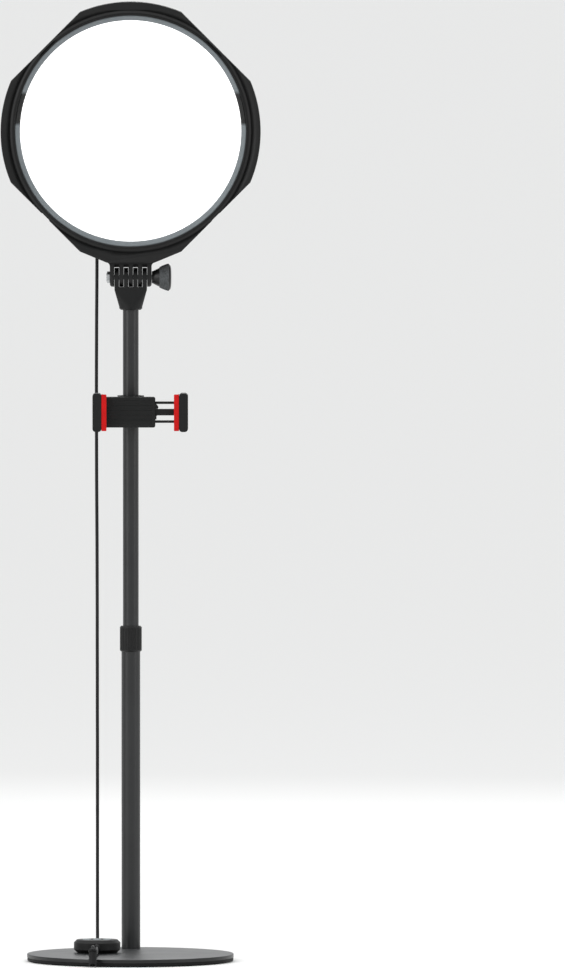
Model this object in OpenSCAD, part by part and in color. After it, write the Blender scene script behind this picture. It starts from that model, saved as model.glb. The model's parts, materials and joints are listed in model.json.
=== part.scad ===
// Desk-standing round light panel on a two-stage pole, with a spring phone holder on the pole
// and an in-line hand control lying on the base. Millimetres, +Z up, front towards -Y.
// The origin is at the centre of the base, on the surface that it stands on.

/* [Base] */
// Diameter of the round base
base_d = 216.4; // [200:0.2:260]
// Thickness of the steel top plate
plate_t = 3.9; // [3:0.1:6]
// Thickness of the moulded pan under the plate
pan_t = 3.1; // [2.8:0.1:5]
// Thickness of the non-slip pad under the pan
pad_t = 0.8; // [0.5:0.1:2]
// Bevel round the top edge of the plate
plate_bevel = 0.8; // [0.3:0.1:1.5]
// Distance from the centre of the base back to the axis of the pole
pole_y = 86; // [76:1:88]

/* [Pole] */
// Outer diameter of the lower tube
lower_d = 19.7; // [18.5:0.1:26]
// Outer diameter of the upper tube
upper_d = 16.5; // [13:0.1:16.8]
// Wall of both tubes
tube_wall = 1.2; // [0.8:0.1:1.4]
// Length of the lower tube
lower_len = 326; // [260:1:360]
// Length of the upper tube
upper_len = 457; // [400:1:520]
// Height of the tilt pin above the floor
pin_z = 713.3; // [690:0.1:760]
// Outer diameter of the twist-lock collar
collar_d = 23; // [22.6:0.1:32]
// Height of the twist-lock collar
collar_h = 26.9; // [24:0.1:34]
// Length of lower tube that the collar covers
collar_grip = 13.7; // [10:0.1:15]
// Number of flutes round the collar
collar_flutes = 22; // [12:1:30]
// Clamping height of the split collet above the lower tube
collet_h = 10.5; // [8:0.1:11]
// Length of the bush below the end of the upper tube
bush_len = 12; // [8:1:20]

/* [Tilt joint] */
// Radius of the finger ends
finger_r = 10; // [8.5:0.1:10.5]
// Thickness of one finger
finger_t = 4.6; // [3.6:0.1:4.7]
// Distance from one finger to the next of the other part
finger_pitch = 4.9; // [4.9:0.1:5.4]
// Number of fingers on the head
upper_fingers = 5; // [3:1:5]
// Distance from the pin to the root of the head's fingers
root_gap = 14.1; // [14:0.1:14.3]
// Diameter of the tilt screw
tilt_screw_d = 5; // [4:0.1:6]
// Largest diameter of the tilt knob
knob_d = 28.6; // [22:0.1:34]
// Length of the tilt knob
knob_len = 20.5; // [18:0.1:26]
// Outer diameter of the pole socket under the fingers
socket_d = 24.2; // [22:0.1:28]

/* [Head] */
// Radius of the round stretches of the head's outline
head_r = 136.4; // [134:0.1:146]
// Distance from the centre to the four slanted flats
head_flat = 126.4; // [126.3:0.1:131]
// Height of the head's centre above the tilt pin
head_rise = 154; // [153.8:0.1:154.6]
// Distance from the head's centre down to the end of its chin
chin_drop = 138.1; // [137.6:0.1:138.3]
// Radius of the front opening
window_r = 121.2; // [115:0.1:121.4]
// Radius of the lit disc inside the grey rim
lit_r = 116; // [108:0.1:117]
// Depth of the bezel in front of the pole's axis
face_z = 20; // [18:0.5:26]
// Depth of the head behind the pole's axis
rear_z = 12; // [11:0.5:16]
// Depth from the front face to the diffuser
recess = 9; // [8.8:0.1:10]
// Height of the raised lip round the opening
lip_h = 1.6; // [0.8:0.1:3]
// Wall of the two head shells
shell_t = 2.2; // [1.6:0.1:2.2]
// Thickness of the diffuser
diffuser_t = 3; // [2:0.1:3.2]
// Thickness of the light guide
guide_t = 3.8; // [3:0.1:4]
// Number of light-emitting diodes round the guide
led_count = 72; // [36:1:96]

/* [Phone holder] */
// Height of the holder's centre above the floor
holder_z = 573.2; // [560:0.1:590]
// Distance between the jaws as they stand
grip_gap = 78.1; // [66:0.1:84]
// Distance between the jaws when they are closed
grip_min = 57.6; // [52:0.1:60]
// Height of the jaws
jaw_h = 40.4; // [34:0.1:48]
// Width of a jaw seen from the front
jaw_t = 9.4; // [7:0.1:12]
// Depth of the jaws from front to back
jaw_depth = 25; // [22:0.5:28]
// Thickness of the rubber behind a jaw's lip
grip_pad_t = 1.6; // [1.5:0.1:3]
// Width of the rubber lip in front of the phone
grip_lip = 3.7; // [2:0.1:5]
// Distance from the pole's axis forward to the hinge that tilts the holder
hinge_reach = 21; // [20:0.5:26]
// Height of the clamp round the upper tube
clamp_h = 32; // [26:1:36]

/* [Hand control] */
// Diameter of the hand control
control_d = 48.8; // [46:0.1:60]
// Height of the hand control above the base
control_h = 13.8; // [13:0.1:18]
// Bevel round its top and bottom
control_bevel = 3; // [2:0.1:3.2]
// Diameter of a push button
button_d = 8.6; // [7:0.1:9]
// Distance from one button to the next
button_pitch = 10.7; // [10.6:0.1:12]
// Travel of a push button
button_travel = 0.8; // [0.4:0.1:0.9]

/* [Cord] */
// Diameter of the cord
cord_d = 3.5; // [3:0.1:3.9]
// Diameter of the socket on the end of the short cord
power_d = 7.9; // [7:0.1:9]
// Length of that socket
power_len = 18.5; // [16:0.1:22]

/* [Fits] */
// Gap between pieces that are pressed or screwed together
press_gap = 0.02; // [0.01:0.01:0.05]
// Radial gap of a running fit
run_gap = 0.08; // [0.03:0.01:0.1]
// Gap between pieces that pass each other freely
slip_gap = 0.3; // [0.2:0.05:0.4]

/* [Hidden] */
$fn = 96;
// Overshoot of a cut past the face that it opens
cut = 1;

// Radii and heights of the base
base_r = base_d / 2;
pan_z = pad_t;
plate_z = pad_t + pan_t;
base_top = plate_z + plate_t;
pad_inset = 3;
// Four screws that hold the pan to the plate
pan_screw_r = 1.5;
pan_screw_pcd = 150;
pan_head_r = 2.8;
pan_head_h = 1.2;
pan_screw_len = 2.6;
// Bolt that holds the pole
bolt_r = 4;
bolt_head_r = 9;
bolt_head_h = 2.4;
bolt_rise = 18;
bolt_well_r = bolt_head_r + 1.5;
insert_h = 22;

// Radii and heights of the pole
lower_r = lower_d / 2;
lower_bore = lower_r - tube_wall;
upper_r = upper_d / 2;
upper_bore = upper_r - tube_wall;
lower_top = base_top + lower_len;
collar_r = collar_d / 2;
collar_z = lower_top - collar_grip;
collar_top = collar_z + collar_h;
collar_bore = lower_r + run_gap;
collar_lip = 2;
collar_bevel = 1.2;
flute_r = 0.9;
flute_in = 0.5;
// The collar's bore narrows from here up to its lip
cone_z = lower_top + 5;
cone_top = collar_top - collar_lip;
cone_r = upper_r + slip_gap + 0.5;
collet_slots = 6;
collet_slot_w = 1;
collet_foot = 3;
socket_depth = 17.8;
socket_end = pin_z - finger_r - slip_gap - 23.8;
upper_top = socket_end + socket_depth;
upper_z = upper_top - upper_len;
bush_spigot = 15;
bush_hole_r = 5;

// The tilt joint, whose fingers interleave along X
shoulder_z = pin_z - finger_r - slip_gap;
shoulder_half_d = finger_r - 0.6;
lower_fingers = upper_fingers - 1;
finger_step = 2 * finger_pitch;
upper_half = (upper_fingers - 1) * finger_pitch + finger_t / 2;
lower_half = (lower_fingers - 1) * finger_pitch + finger_t / 2;
tilt_screw_r = tilt_screw_d / 2;
nut_t = 3;
nut_r = 6.2;
knob_r = knob_d / 2;
knob_x = upper_half + slip_gap;
knob_end = knob_x + knob_len;
knob_neck_r = 6.6;
screw_in_knob = 14;
taper_h = 21;

// The head, drawn in its own plane: X right, Y up, Z towards the front
head_z = pin_z + head_rise;
chin_angle = 22.4;
// The outline's middle is this far below the middle of the lit disc
outline_drop = 0.9;
part_z = -1;
face_t = 2.2;
root_t = head_rise - root_gap - chin_drop;
// The root of the fingers widens to the width of the chin
root_half = (head_r / cos(chin_angle) - chin_drop + outline_drop) / tan(chin_angle) - 0.6;
lip_r = window_r + 2.9;
lip_foot_r = window_r + 4.3;
lip_tube_r = window_r + 2.4;
diffuser_r = head_flat - shell_t - 1.3;
diffuser_z = face_z - recess - diffuser_t;
gasket_t = 0.6;
ring_z = diffuser_z + diffuser_t + gasket_t;
guide_z = diffuser_z - 0.2 - guide_t;
guide_r = diffuser_r - 3.1;
reflector_t = 0.5;
reflector_z = guide_z - 0.1 - reflector_t;
led_h = 0.7;
led_w = 3;
led_tall = 2.4;
strip_r = guide_r + 0.2 + led_h;
strip_t = 0.4;
heat_r = strip_r + strip_t + 0.1;
heat_wall = diffuser_r - heat_r - 0.2;
heat_flange = 14;
heat_z = reflector_z - 0.2 - 1;
plate_back_t = 1;
plate_back_z = heat_z - 0.2 - plate_back_t;
boss_r = 3.4;
boss_at = (head_r - shell_t + lip_tube_r) / 2;
boss_spread = 17;
boss_hole = 7;
chin_boss = [27, -125.8];
screw_r = 1.35;
screw_head_r = 2.7;
screw_head_h = 1.8;
flange_z = -5;
flange_t = 2;
dish_r = head_flat - 3.4;
dish_back_r = dish_r - 10;
hump_half = 21.3;
hump_top = -104;
tongue_half = 17.5;
tongue_t = 7.5;
notch_w = 11;
notch_deep = 1;
board_w = 64;
board_h = 34;
board_y = -74;
board_t = 1.6;
board_z = -rear_z + 4;
board_post_r = 2;
board_post_in = 4;
// Parts on the board: place of a corner, and size
board_parts = [[-24, -10, 12, 12, 3], [-6, -8, 12, 12, 2.4], [12, -12, 16, 7, 3.4]];
capacitors = [14, 22];
capacitor_r = 3;
capacitor_h = 3.2;

// The strain relief of the head
gland_x = -35.5;
gland_y = 92;
gland_top = head_z - 107;
gland_mouth = head_z - 122;
gland_r = 3;
gland_tip_r = 2.4;
gland_tail = 11.6;
gland_collar_r = gland_r + 0.8;
// Thick patch of the flange that the gland's groove runs in
gland_patch = 5.5;
gland_end = gland_mouth - gland_tail;

// The phone holder; its hinge is in front of the pole and the jaws are in front of that
hinge_y = pole_y - hinge_reach;
hinge_r = 5;
hinge_half = 5;
lug_t = 3.5;
lug_gap = slip_gap;
tilt_pin_r = 2;
disc_r = 12;
disc_t = 3;
disc_y = hinge_y - hinge_r - 0.7 - disc_t;
boss_t = 4;
back_y = disc_y - slip_gap - boss_t;
body_t = 12;
body_half = 16;
body_y = back_y - body_t;
fixed_x = -grip_min / 2;
slide_x = fixed_x + grip_gap;
closing = grip_gap - grip_min;
body_x0 = fixed_x - grip_pad_t;
body_x1 = grip_min / 2 - 2.8;
body_wall = 2.2;
foot_x = body_x1 + closing + 0.5;
tongue_x = body_x0 + body_wall + 0.5 + closing;
slide_t = 5;
slide_y = body_y + 3.3;
slide_half = 11.2;
slot_z = 6;
slot_half = 2.6;
slot_x = tongue_x + 3;
post_t = 2.2;
spring_r = 1.8;
spring_wire = 0.35;
spring_turns = 9;
jaw_front = back_y - jaw_depth;
jaw_round = 3.4;
pad_depth = 12.6;
pad_lip_t = 2.4;
pad_half = jaw_h / 2 - 1;
swivel_r = 2;
swivel_head_r = 4;
swivel_head_t = 2.4;
swivel_in = 6;
clamp_r = 14;
liner_r = upper_r + 2.1;
ear_y = 8;
ear_half = 9;
ear_x = 27;
ear_left = -22.5;
clamp_screw_x = 20.5;
clamp_screw_r = 2.5;
knob2_r = 9;
knob2_t = 10.5;
side_screw_x = -17.8;
side_screw_r = 1.5;

// The hand control on the base
control_x = -34.9;
control_y = 12.5;
control_r = control_d / 2;
control_foot = 0.6;
control_wall = 1.8;
control_z = base_top + control_foot;
control_top = base_top + control_h;
control_mid = base_top + control_h / 2;
control_pcb_r = 19;
control_pcb_z = control_z + 3.4;
button_r = button_d / 2;
button_rise = 0.6;
button_flange_r = button_r + 0.7;
button_flange_t = 0.9;
switch_r = 1.8;
control_posts = 16.5;
relief_r = 3.2;
relief_neck_r = 2.3;
relief_in = 3;
relief_tail = 13;
front_relief_tail = 7;
front_relief_r = 3.5;

// The socket on the short cord leans on the front edge of the base, its tip on the floor
power_lean = 60;
power_at = [-38.6, -115.7, 2.4];
power_hole_r = 2.8;
power_hole = 9.5;

// Cords, as points on their centrelines
cord_r = cord_d / 2;
cord_sides = 8;
lead_steps = 3;
lead_route = [
    [-35.5, 92, 733.6], [-35.5, 92, 722], [-35.6, 91, 700], [-35.8, 89, 670], [-35.9, 87, 640],
    [-36, 85, 610], [-36, 84, 575], [-35.9, 82, 540], [-35.8, 81, 505], [-35.6, 80, 470],
    [-35.4, 79, 435], [-35.3, 78, 400], [-35.2, 77, 365], [-35.2, 77, 330], [-35.1, 76, 295],
    [-35.1, 76, 260], [-35, 75, 225], [-35, 75, 190], [-35, 74, 155], [-35, 74, 120],
    [-35, 73, 85], [-35, 72, 55], [-35, 70, 35], [-34.9, 64, 21], [-34.9, 57, 15.6],
    [-34.9, 49.9, 14.7]
];
// Places along the route where the upper stretch ends and the lower one starts
lead_split_up = 7;
lead_split_low = 11;
outlet_steps = 1;
outlet_route = [
    [-34.9, -18.9, 14.7], [-34.9, -26, 14], [-35, -36, 12], [-35.2, -47, 10.5], [-35.5, -59, 10.6],
    [-36.2, -71, 12.4], [-37, -82, 15.8], [-37.8, -91, 19.1], [-38.3, -98, 20.8], [-38.6, -102, 20.6],
    [-38.6, -104.6, 19.4], [-38.6, -106.45, 17.42]
];

// Points on a smooth line through a route, with a number of steps between its points
function between(a, b, c, d, t) =
    b + (c - a) * t / 2 + (2 * a - 5 * b + 4 * c - d) * t * t / 2
    + (3 * b - a - 3 * c + d) * t * t * t / 2;
function smooth_line(p, steps) = [
    for (i = [0:len(p) - 2], k = [0:steps - 1])
        between(p[max(i - 1, 0)], p[i], p[i + 1], p[min(i + 2, len(p) - 1)], k / steps),
    p[len(p) - 1]
];
function unit(v) = v / norm(v);
function along(p, i) = unit(p[min(i + 1, len(p) - 1)] - p[max(i - 1, 0)]);
function ring_point(p, i, r, angle, side) =
    let (t = along(p, i), u = unit(cross(t, side)), v = cross(t, u))
    p[i] + r * (cos(angle) * u + sin(angle) * v);
function tube_faces(rings, sides) = [
    for (i = [0:rings - 2], k = [0:sides - 1], half = [0, 1])
        half == 0
            ? [i * sides + k, (i + 1) * sides + k, i * sides + (k + 1) % sides]
            : [i * sides + (k + 1) % sides, (i + 1) * sides + k, (i + 1) * sides + (k + 1) % sides]
];

// A round tube swept along part of a line, from ring to ring; side is a direction it never follows
module swept(line, first, last, r, sides, side) {
    rings = last - first + 1;
    points = [
        for (i = [first:last], k = [0:sides - 1]) ring_point(line, i, r, k * 360 / sides, side)
    ];
    start = [for (k = [0:sides - 1]) k];
    end = [for (k = [sides - 1:-1:0]) (rings - 1) * sides + k];
    polyhedron(points, concat(tube_faces(rings, sides), [start, end]), convexity = 6);
}

// A ring of copies round the Z axis
module around(count, start = 0) {
    for (i = [0:count - 1]) rotate(start + i * 360 / count) children();
}

// A rectangle with round corners, centred
module round_rect(w, h, r) {
    square([w - 2 * r, h], center = true);
    square([w, h - 2 * r], center = true);
    for (x = [-1, 1], y = [-1, 1]) translate([x * (w / 2 - r), y * (h / 2 - r)]) circle(r);
}

// A box given by its two corners
module block(low, high) {
    translate(low) cube(high - low);
}

// A cylinder along X between two places
module rod_x(x0, x1, r) {
    translate([x0, 0, 0]) rotate([0, 90, 0]) cylinder(r = r, h = x1 - x0);
}

// A cylinder along Y between two places
module rod_y(y0, y1, r) {
    translate([0, y1, 0]) rotate([90, 0, 0]) cylinder(r = r, h = y1 - y0);
}

module on_pole() {
    translate([0, pole_y, 0]) children();
}

module on_pin() {
    translate([0, pole_y, pin_z]) children();
}

// The plane of the head: its Z points to the front
module on_head() {
    translate([0, pole_y, head_z]) rotate([90, 0, 0]) children();
}

module ring(r_in, r_out, z0, z1) {
    difference() {
        translate([0, 0, z0]) cylinder(r = r_out, h = z1 - z0);
        translate([0, 0, z0 - cut]) cylinder(r = r_in, h = z1 - z0 + 2 * cut);
    }
}

// ---- Base ----

module at_pan_screws() {
    around(4, 45) translate([pan_screw_pcd / 2, 0, 0]) children();
}

module base_plate() {
    color("#6f7173") difference() {
        rotate_extrude($fn = 180) polygon([
            [0, plate_z], [base_r, plate_z], [base_r, base_top - plate_bevel],
            [base_r - plate_bevel, base_top], [0, base_top]
        ]);
        on_pole() translate([0, 0, plate_z - cut]) cylinder(r = bolt_r + slip_gap, h = plate_t + 2 * cut);
        at_pan_screws() translate([0, 0, plate_z - cut])
            cylinder(r = pan_screw_r + press_gap, h = pan_screw_len + cut);
    }
}

module base_pan() {
    color("#1d1e1f") difference() {
        translate([0, 0, pan_z]) cylinder(r = base_r - slip_gap, h = pan_t, $fn = 180);
        on_pole() translate([0, 0, pan_z - cut]) cylinder(r = bolt_well_r, h = pan_t + 2 * cut);
        at_pan_screws() {
            translate([0, 0, pan_z - cut]) cylinder(r = pan_screw_r + slip_gap, h = pan_t + 2 * cut);
            translate([0, 0, pan_z - cut]) cylinder(r = pan_head_r + slip_gap, h = pan_head_h + cut);
        }
    }
}

module base_pad() {
    color("#111111") difference() {
        cylinder(r = base_r - pad_inset, h = pad_t, $fn = 180);
        on_pole() translate([0, 0, -cut]) cylinder(r = bolt_well_r, h = pad_t + 2 * cut);
    }
}

module pan_screws() {
    color("silver") at_pan_screws() {
        translate([0, 0, pan_z]) cylinder(r = pan_head_r, h = pan_head_h);
        translate([0, 0, pan_z]) cylinder(r = pan_screw_r, h = pan_t + pan_screw_len - 0.2);
    }
}

module pole_bolt() {
    color("silver") on_pole() difference() {
        union() {
            translate([0, 0, plate_z - bolt_head_h]) cylinder(r = bolt_head_r, h = bolt_head_h);
            translate([0, 0, plate_z - cut]) cylinder(r = bolt_r, h = plate_t + bolt_rise + cut);
        }
        translate([0, 0, plate_z - bolt_head_h - cut]) cylinder(r = 2.9, h = cut + 1.8, $fn = 6);
    }
}

module foot_insert() {
    color("silver") on_pole() ring(bolt_r + press_gap, lower_bore - run_gap, base_top, base_top + insert_h);
}

// ---- Pole ----

module lower_tube() {
    color("#3b3b3b") on_pole() ring(lower_bore, lower_r, base_top, lower_top);
}

module collet() {
    color("#202020") on_pole() difference() {
        rotate_extrude() polygon([
            [upper_r + run_gap, lower_top], [lower_r - 0.1, lower_top], [lower_r - 0.1, cone_z - 0.3],
            [cone_r - run_gap, lower_top + collet_h], [upper_r + run_gap, lower_top + collet_h]
        ]);
        around(collet_slots) translate([0, -collet_slot_w / 2, lower_top + collet_foot])
            cube([lower_r + cut, collet_slot_w, collet_h]);
    }
}

module lock_collar() {
    color("#2e2e2e") on_pole() difference() {
        rotate_extrude() polygon([
            [collar_bore, collar_z], [collar_r - collar_bevel, collar_z], [collar_r, collar_z + collar_bevel],
            [collar_r, collar_top - collar_bevel], [collar_r - collar_bevel, collar_top],
            [upper_r + slip_gap, collar_top], [upper_r + slip_gap, cone_top], [cone_r, cone_top],
            [collar_bore, cone_z]
        ]);
        around(collar_flutes) translate([collar_r + flute_r - flute_in, 0, collar_z + 2 * collar_bevel])
            cylinder(r = flute_r, h = collar_h - 4 * collar_bevel, $fn = 24);
    }
}

module tube_bush() {
    color("#d8d8d0") on_pole() {
        ring(bush_hole_r, lower_bore - 0.05, upper_z - slip_gap - bush_len, upper_z - slip_gap);
        ring(bush_hole_r, upper_bore - run_gap, upper_z - slip_gap - cut, upper_z + bush_spigot);
    }
}

module upper_tube() {
    color("#3b3b3b") on_pole() ring(upper_bore, upper_r, upper_z, upper_top);
}

// ---- Tilt joint ----

// Fingers along X, each a round end on the pin and a straight stretch of length reach up or down
module fingers(count, half_d, reach) {
    for (i = [0:count - 1]) {
        x = (i - (count - 1) / 2) * finger_step;
        rod_x(x - finger_t / 2, x + finger_t / 2, finger_r);
        block([x - finger_t / 2, -half_d, min(0, reach)], [x + finger_t / 2, half_d, max(0, reach)]);
    }
}

module socket_fitting() {
    color("#252525") difference() {
        union() {
            on_pole() translate([0, 0, socket_end]) {
                rotate_extrude() polygon([
                    [0, 0], [socket_d / 2 - 1.5, 0], [socket_d / 2, 1.5], [socket_d / 2, 6], [0, 6]
                ]);
                hull() {
                    translate([0, 0, 3]) cylinder(r = socket_d / 2, h = 1, $fn = 32);
                    translate([-lower_half, -shoulder_half_d, taper_h])
                        cube([2 * lower_half, 2 * shoulder_half_d, 1]);
                }
            }
            on_pole() block([-lower_half, -shoulder_half_d, socket_end + taper_h],
                [lower_half, shoulder_half_d, shoulder_z]);
            on_pin() fingers(lower_fingers, shoulder_half_d, -finger_r - slip_gap - cut);
        }
        on_pole() translate([0, 0, socket_end - cut])
            cylinder(r = upper_r + press_gap, h = socket_depth + cut);
        on_pin() rod_x(-upper_half, upper_half, tilt_screw_r + run_gap);
    }
}

module tilt_bracket() {
    color("#1f1f1f") difference() {
        union() {
            on_pin() fingers(upper_fingers, finger_r, root_gap + root_t / 2);
            on_pin() translate([0, finger_r + 2, root_gap]) rotate([90, 0, 0])
                linear_extrude(2 * finger_r + 4) polygon([
                    [-upper_half, 0], [upper_half, 0], [root_half, root_t - press_gap],
                    [-root_half, root_t - press_gap]
                ]);
            on_head() {
                block([-tongue_half, -chin_drop - 1, -tongue_t], [tongue_half, -diffuser_r - 1.2, tongue_t]);
                block([-tongue_half, -diffuser_r - 2, -tongue_t], [tongue_half, -100, plate_back_z - 1]);
            }
        }
        on_pin() rod_x(-upper_half - cut, upper_half + cut, tilt_screw_r + run_gap);
    }
}

module tilt_screw() {
    color("silver") on_pin() rod_x(-upper_half - nut_t + 0.3, knob_x + screw_in_knob, tilt_screw_r);
}

module tilt_knob() {
    color("#2b2b2b") on_pin() rotate([0, 90, 0]) rotate_extrude() polygon([
        [tilt_screw_r + press_gap, knob_x], [knob_neck_r, knob_x], [knob_neck_r, knob_x + 2.6],
        [knob_neck_r + 1.4, knob_x + 5], [knob_r - 0.8, knob_x + 12.5], [knob_r, knob_x + 14],
        [knob_r, knob_x + 16.6], [knob_r - 2, knob_x + 19], [knob_r - 7, knob_end], [0, knob_end],
        [0, knob_x + screw_in_knob + 0.3], [tilt_screw_r + press_gap, knob_x + screw_in_knob + 0.3]
    ]);
}

module dome_nut() {
    color("silver") on_pin() difference() {
        union() {
            translate([-upper_half - nut_t, 0, 0]) rotate([0, 90, 0])
                cylinder(r = nut_r, h = nut_t - press_gap, $fn = 6);
            rod_x(-upper_half - nut_t - 0.6, -upper_half - nut_t + cut, nut_r - 1.6);
        }
        rod_x(-upper_half - nut_t, -upper_half + cut, tilt_screw_r + run_gap);
    }
}

// ---- Head ----

// Outline of the head, moved inwards by d: round at top, sides and foot, four slanted flats and a chin
module head_outline(d) {
    r = head_r - d;
    drop = chin_drop - outline_drop - d;
    half = (r / cos(chin_angle) - drop) / tan(chin_angle);
    translate([0, -outline_drop]) {
        intersection() {
            circle(r, $fn = 180);
            rotate(45) square(2 * (head_flat - d), center = true);
        }
        polygon([
            [0, 0], [-r * sin(chin_angle), -r * cos(chin_angle)], [-half, -drop], [half, -drop],
            [r * sin(chin_angle), -r * cos(chin_angle)]
        ]);
    }
}

module at_head_screws() {
    for (side = [0, 90, 180], turn = [-boss_spread, boss_spread])
        rotate(side + turn) translate([boss_at, 0, 0]) children();
    for (x = [-1, 1]) translate([x * chin_boss.x, chin_boss.y, 0]) children();
}

// Slot in the chin that the tilt bracket comes through
module chin_slot() {
    half = tongue_half + press_gap;
    deep = tongue_t + press_gap;
    block([-half, -chin_drop - cut, -deep], [half, -chin_drop + shell_t + cut, deep]);
}

module front_bezel() {
    color("#292929") on_head() difference() {
        union() {
            difference() {
                translate([0, 0, part_z]) linear_extrude(face_z - part_z) head_outline(0);
                translate([0, 0, part_z - cut]) linear_extrude(face_z - face_t - part_z + cut)
                    head_outline(shell_t);
            }
            rotate_extrude($fn = 180) polygon([
                [window_r, ring_z], [lip_tube_r, ring_z], [lip_tube_r, face_z - cut],
                [lip_foot_r, face_z - cut], [lip_foot_r, face_z], [lip_r, face_z + lip_h],
                [window_r, face_z + lip_h]
            ]);
            at_head_screws() translate([0, 0, part_z + press_gap])
                cylinder(r = boss_r, h = face_z - face_t - part_z, $fn = 32);
        }
        translate([0, 0, face_z - face_t - cut])
            cylinder(r = window_r, h = face_t + lip_h + 2 * cut, $fn = 180);
        at_head_screws() translate([0, 0, part_z - cut])
            cylinder(r = screw_r + press_gap, h = boss_hole + cut, $fn = 32);
        chin_slot();
        translate([0, -outline_drop, face_z / 2]) for (turn = [-45, -135]) rotate(turn)
            translate([head_flat, 0, 0]) cube([2 * notch_deep, notch_w, 2 * face_z], center = true);
    }
}

// The mouth of the cord's gland, with Z up into the head
module on_gland() {
    translate([gland_x, gland_mouth - head_z, pole_y - gland_y]) rotate([-90, 0, 0]) children();
}

module rear_cover() {
    color("#232323") on_head() difference() {
        union() {
            translate([0, 0, flange_z]) linear_extrude(part_z - flange_z) head_outline(0);
            translate([0, 0, -rear_z])
                cylinder(r1 = dish_back_r, r2 = dish_r, h = rear_z + flange_z, $fn = 180);
            block([-hump_half, -chin_drop, -rear_z], [hump_half, hump_top, flange_z + cut]);
            on_gland() cylinder(r = gland_r + 2, h = gland_top - gland_mouth);
        }
        difference() {
            union() {
                difference() {
                    translate([0, 0, flange_z + flange_t]) linear_extrude(part_z - flange_z)
                        head_outline(shell_t);
                    block([gland_x - gland_patch, -chin_drop, flange_z],
                        [gland_x + gland_patch, -dish_r, part_z]);
                }
                translate([0, 0, -rear_z + shell_t])
                    cylinder(r1 = dish_back_r - shell_t, r2 = dish_r - shell_t,
                        h = rear_z + flange_z, $fn = 180);
                block([-hump_half + shell_t, -chin_drop + shell_t, -rear_z + shell_t],
                    [hump_half - shell_t, hump_top + cut, part_z]);
            }
            at_head_screws() translate([0, 0, flange_z])
                cylinder(r = boss_r, h = part_z - flange_z, $fn = 32);
        }
        at_head_screws() translate([0, 0, flange_z - cut])
            cylinder(r = screw_r + press_gap, h = part_z - flange_z + 2 * cut, $fn = 32);
        on_gland() {
            translate([0, 0, -cut]) cylinder(r = gland_r + press_gap, h = gland_top - gland_mouth + 2 * cut);
            translate([0, 0, -2 - slip_gap]) cylinder(r = gland_collar_r + slip_gap / 2, h = 2 + slip_gap);
            translate([0, 0, -2 * gland_tail]) cylinder(r = gland_r + slip_gap, h = 2 * gland_tail);
        }
        chin_slot();
    }
}

module window_ring() {
    color("#8a9497") on_head() rotate_extrude($fn = 180) polygon([
        [lit_r, ring_z], [window_r - press_gap, ring_z], [window_r - press_gap, face_z + lip_h - 0.6],
        [window_r - 0.8, face_z + lip_h - 0.6], [lit_r, ring_z + 1]
    ]);
}

module panel_gasket() {
    color("#101010") on_head() ring(lit_r + 0.4, diffuser_r - 0.2, diffuser_z + diffuser_t, ring_z);
}

module diffuser() {
    color("white") on_head() translate([0, 0, diffuser_z])
        cylinder(r = diffuser_r, h = diffuser_t, $fn = 180);
}

module light_guide() {
    color("#e8f0f2") on_head() translate([0, 0, guide_z]) cylinder(r = guide_r, h = guide_t, $fn = 180);
}

module reflector() {
    color("#f4f4f0") on_head() translate([0, 0, reflector_z])
        cylinder(r = guide_r, h = reflector_t, $fn = 180);
}

module led_strip() {
    color("#f0f0e6") on_head() ring(strip_r, strip_r + strip_t, guide_z, guide_z + guide_t);
}

module led_chips() {
    color("#f2d84a") on_head() around(led_count)
        translate([strip_r - led_h, -led_w / 2, guide_z + (guide_t - led_tall) / 2])
            cube([led_h - 0.05, led_w, led_tall]);
}

module heat_ring() {
    color("#b8babc") on_head() {
        ring(heat_r, heat_r + heat_wall, heat_z, guide_z + guide_t);
        ring(heat_r - heat_flange, heat_r + heat_wall, heat_z, heat_z + 1);
    }
}

module back_plate() {
    color("#9a9c9e") on_head() translate([0, 0, plate_back_z])
        cylinder(r = diffuser_r - 0.4, h = plate_back_t, $fn = 180);
}

module driver_board() {
    color("#1f5a34") on_head() translate([0, board_y, board_z]) {
        block([-board_w / 2, -board_h / 2, 0], [board_w / 2, board_h / 2, board_t]);
        for (x = [-1, 1], y = [-1, 1])
            translate([x * (board_w / 2 - board_post_in), y * (board_h / 2 - board_post_in), shell_t - 4])
                cylinder(r = board_post_r, h = 4.4 - shell_t);
        for (p = board_parts) translate([p[0], p[1], board_t / 2]) cube([p[2], p[3], p[4] + board_t / 2]);
        for (x = capacitors) translate([x, 6, board_t / 2])
            cylinder(r = capacitor_r, h = capacitor_h + board_t / 2);
    }
}

module head_screws() {
    color("silver") on_head() at_head_screws() {
        translate([0, 0, flange_z - screw_head_h]) cylinder(r = screw_head_r, h = screw_head_h, $fn = 32);
        translate([0, 0, flange_z - cut]) cylinder(r = screw_r, h = cut - flange_z + part_z + 4, $fn = 32);
    }
}

module head_gland() {
    color("#161616") translate([gland_x, gland_y, 0]) difference() {
        rotate_extrude() polygon([
            [0, gland_end], [gland_tip_r, gland_end],
            [gland_r, gland_mouth - 2], [gland_collar_r, gland_mouth - 2],
            [gland_collar_r, gland_mouth - press_gap], [gland_r, gland_mouth - press_gap],
            [gland_r, gland_top], [0, gland_top]
        ]);
        for (i = [0:2]) translate([0, 0, gland_end + 2 + 2.4 * i])
            ring(gland_tip_r - 0.25, gland_r + 1, 0, 0.9);
    }
}

// ---- Phone holder ----

module on_holder() {
    translate([0, 0, holder_z]) children();
}

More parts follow.
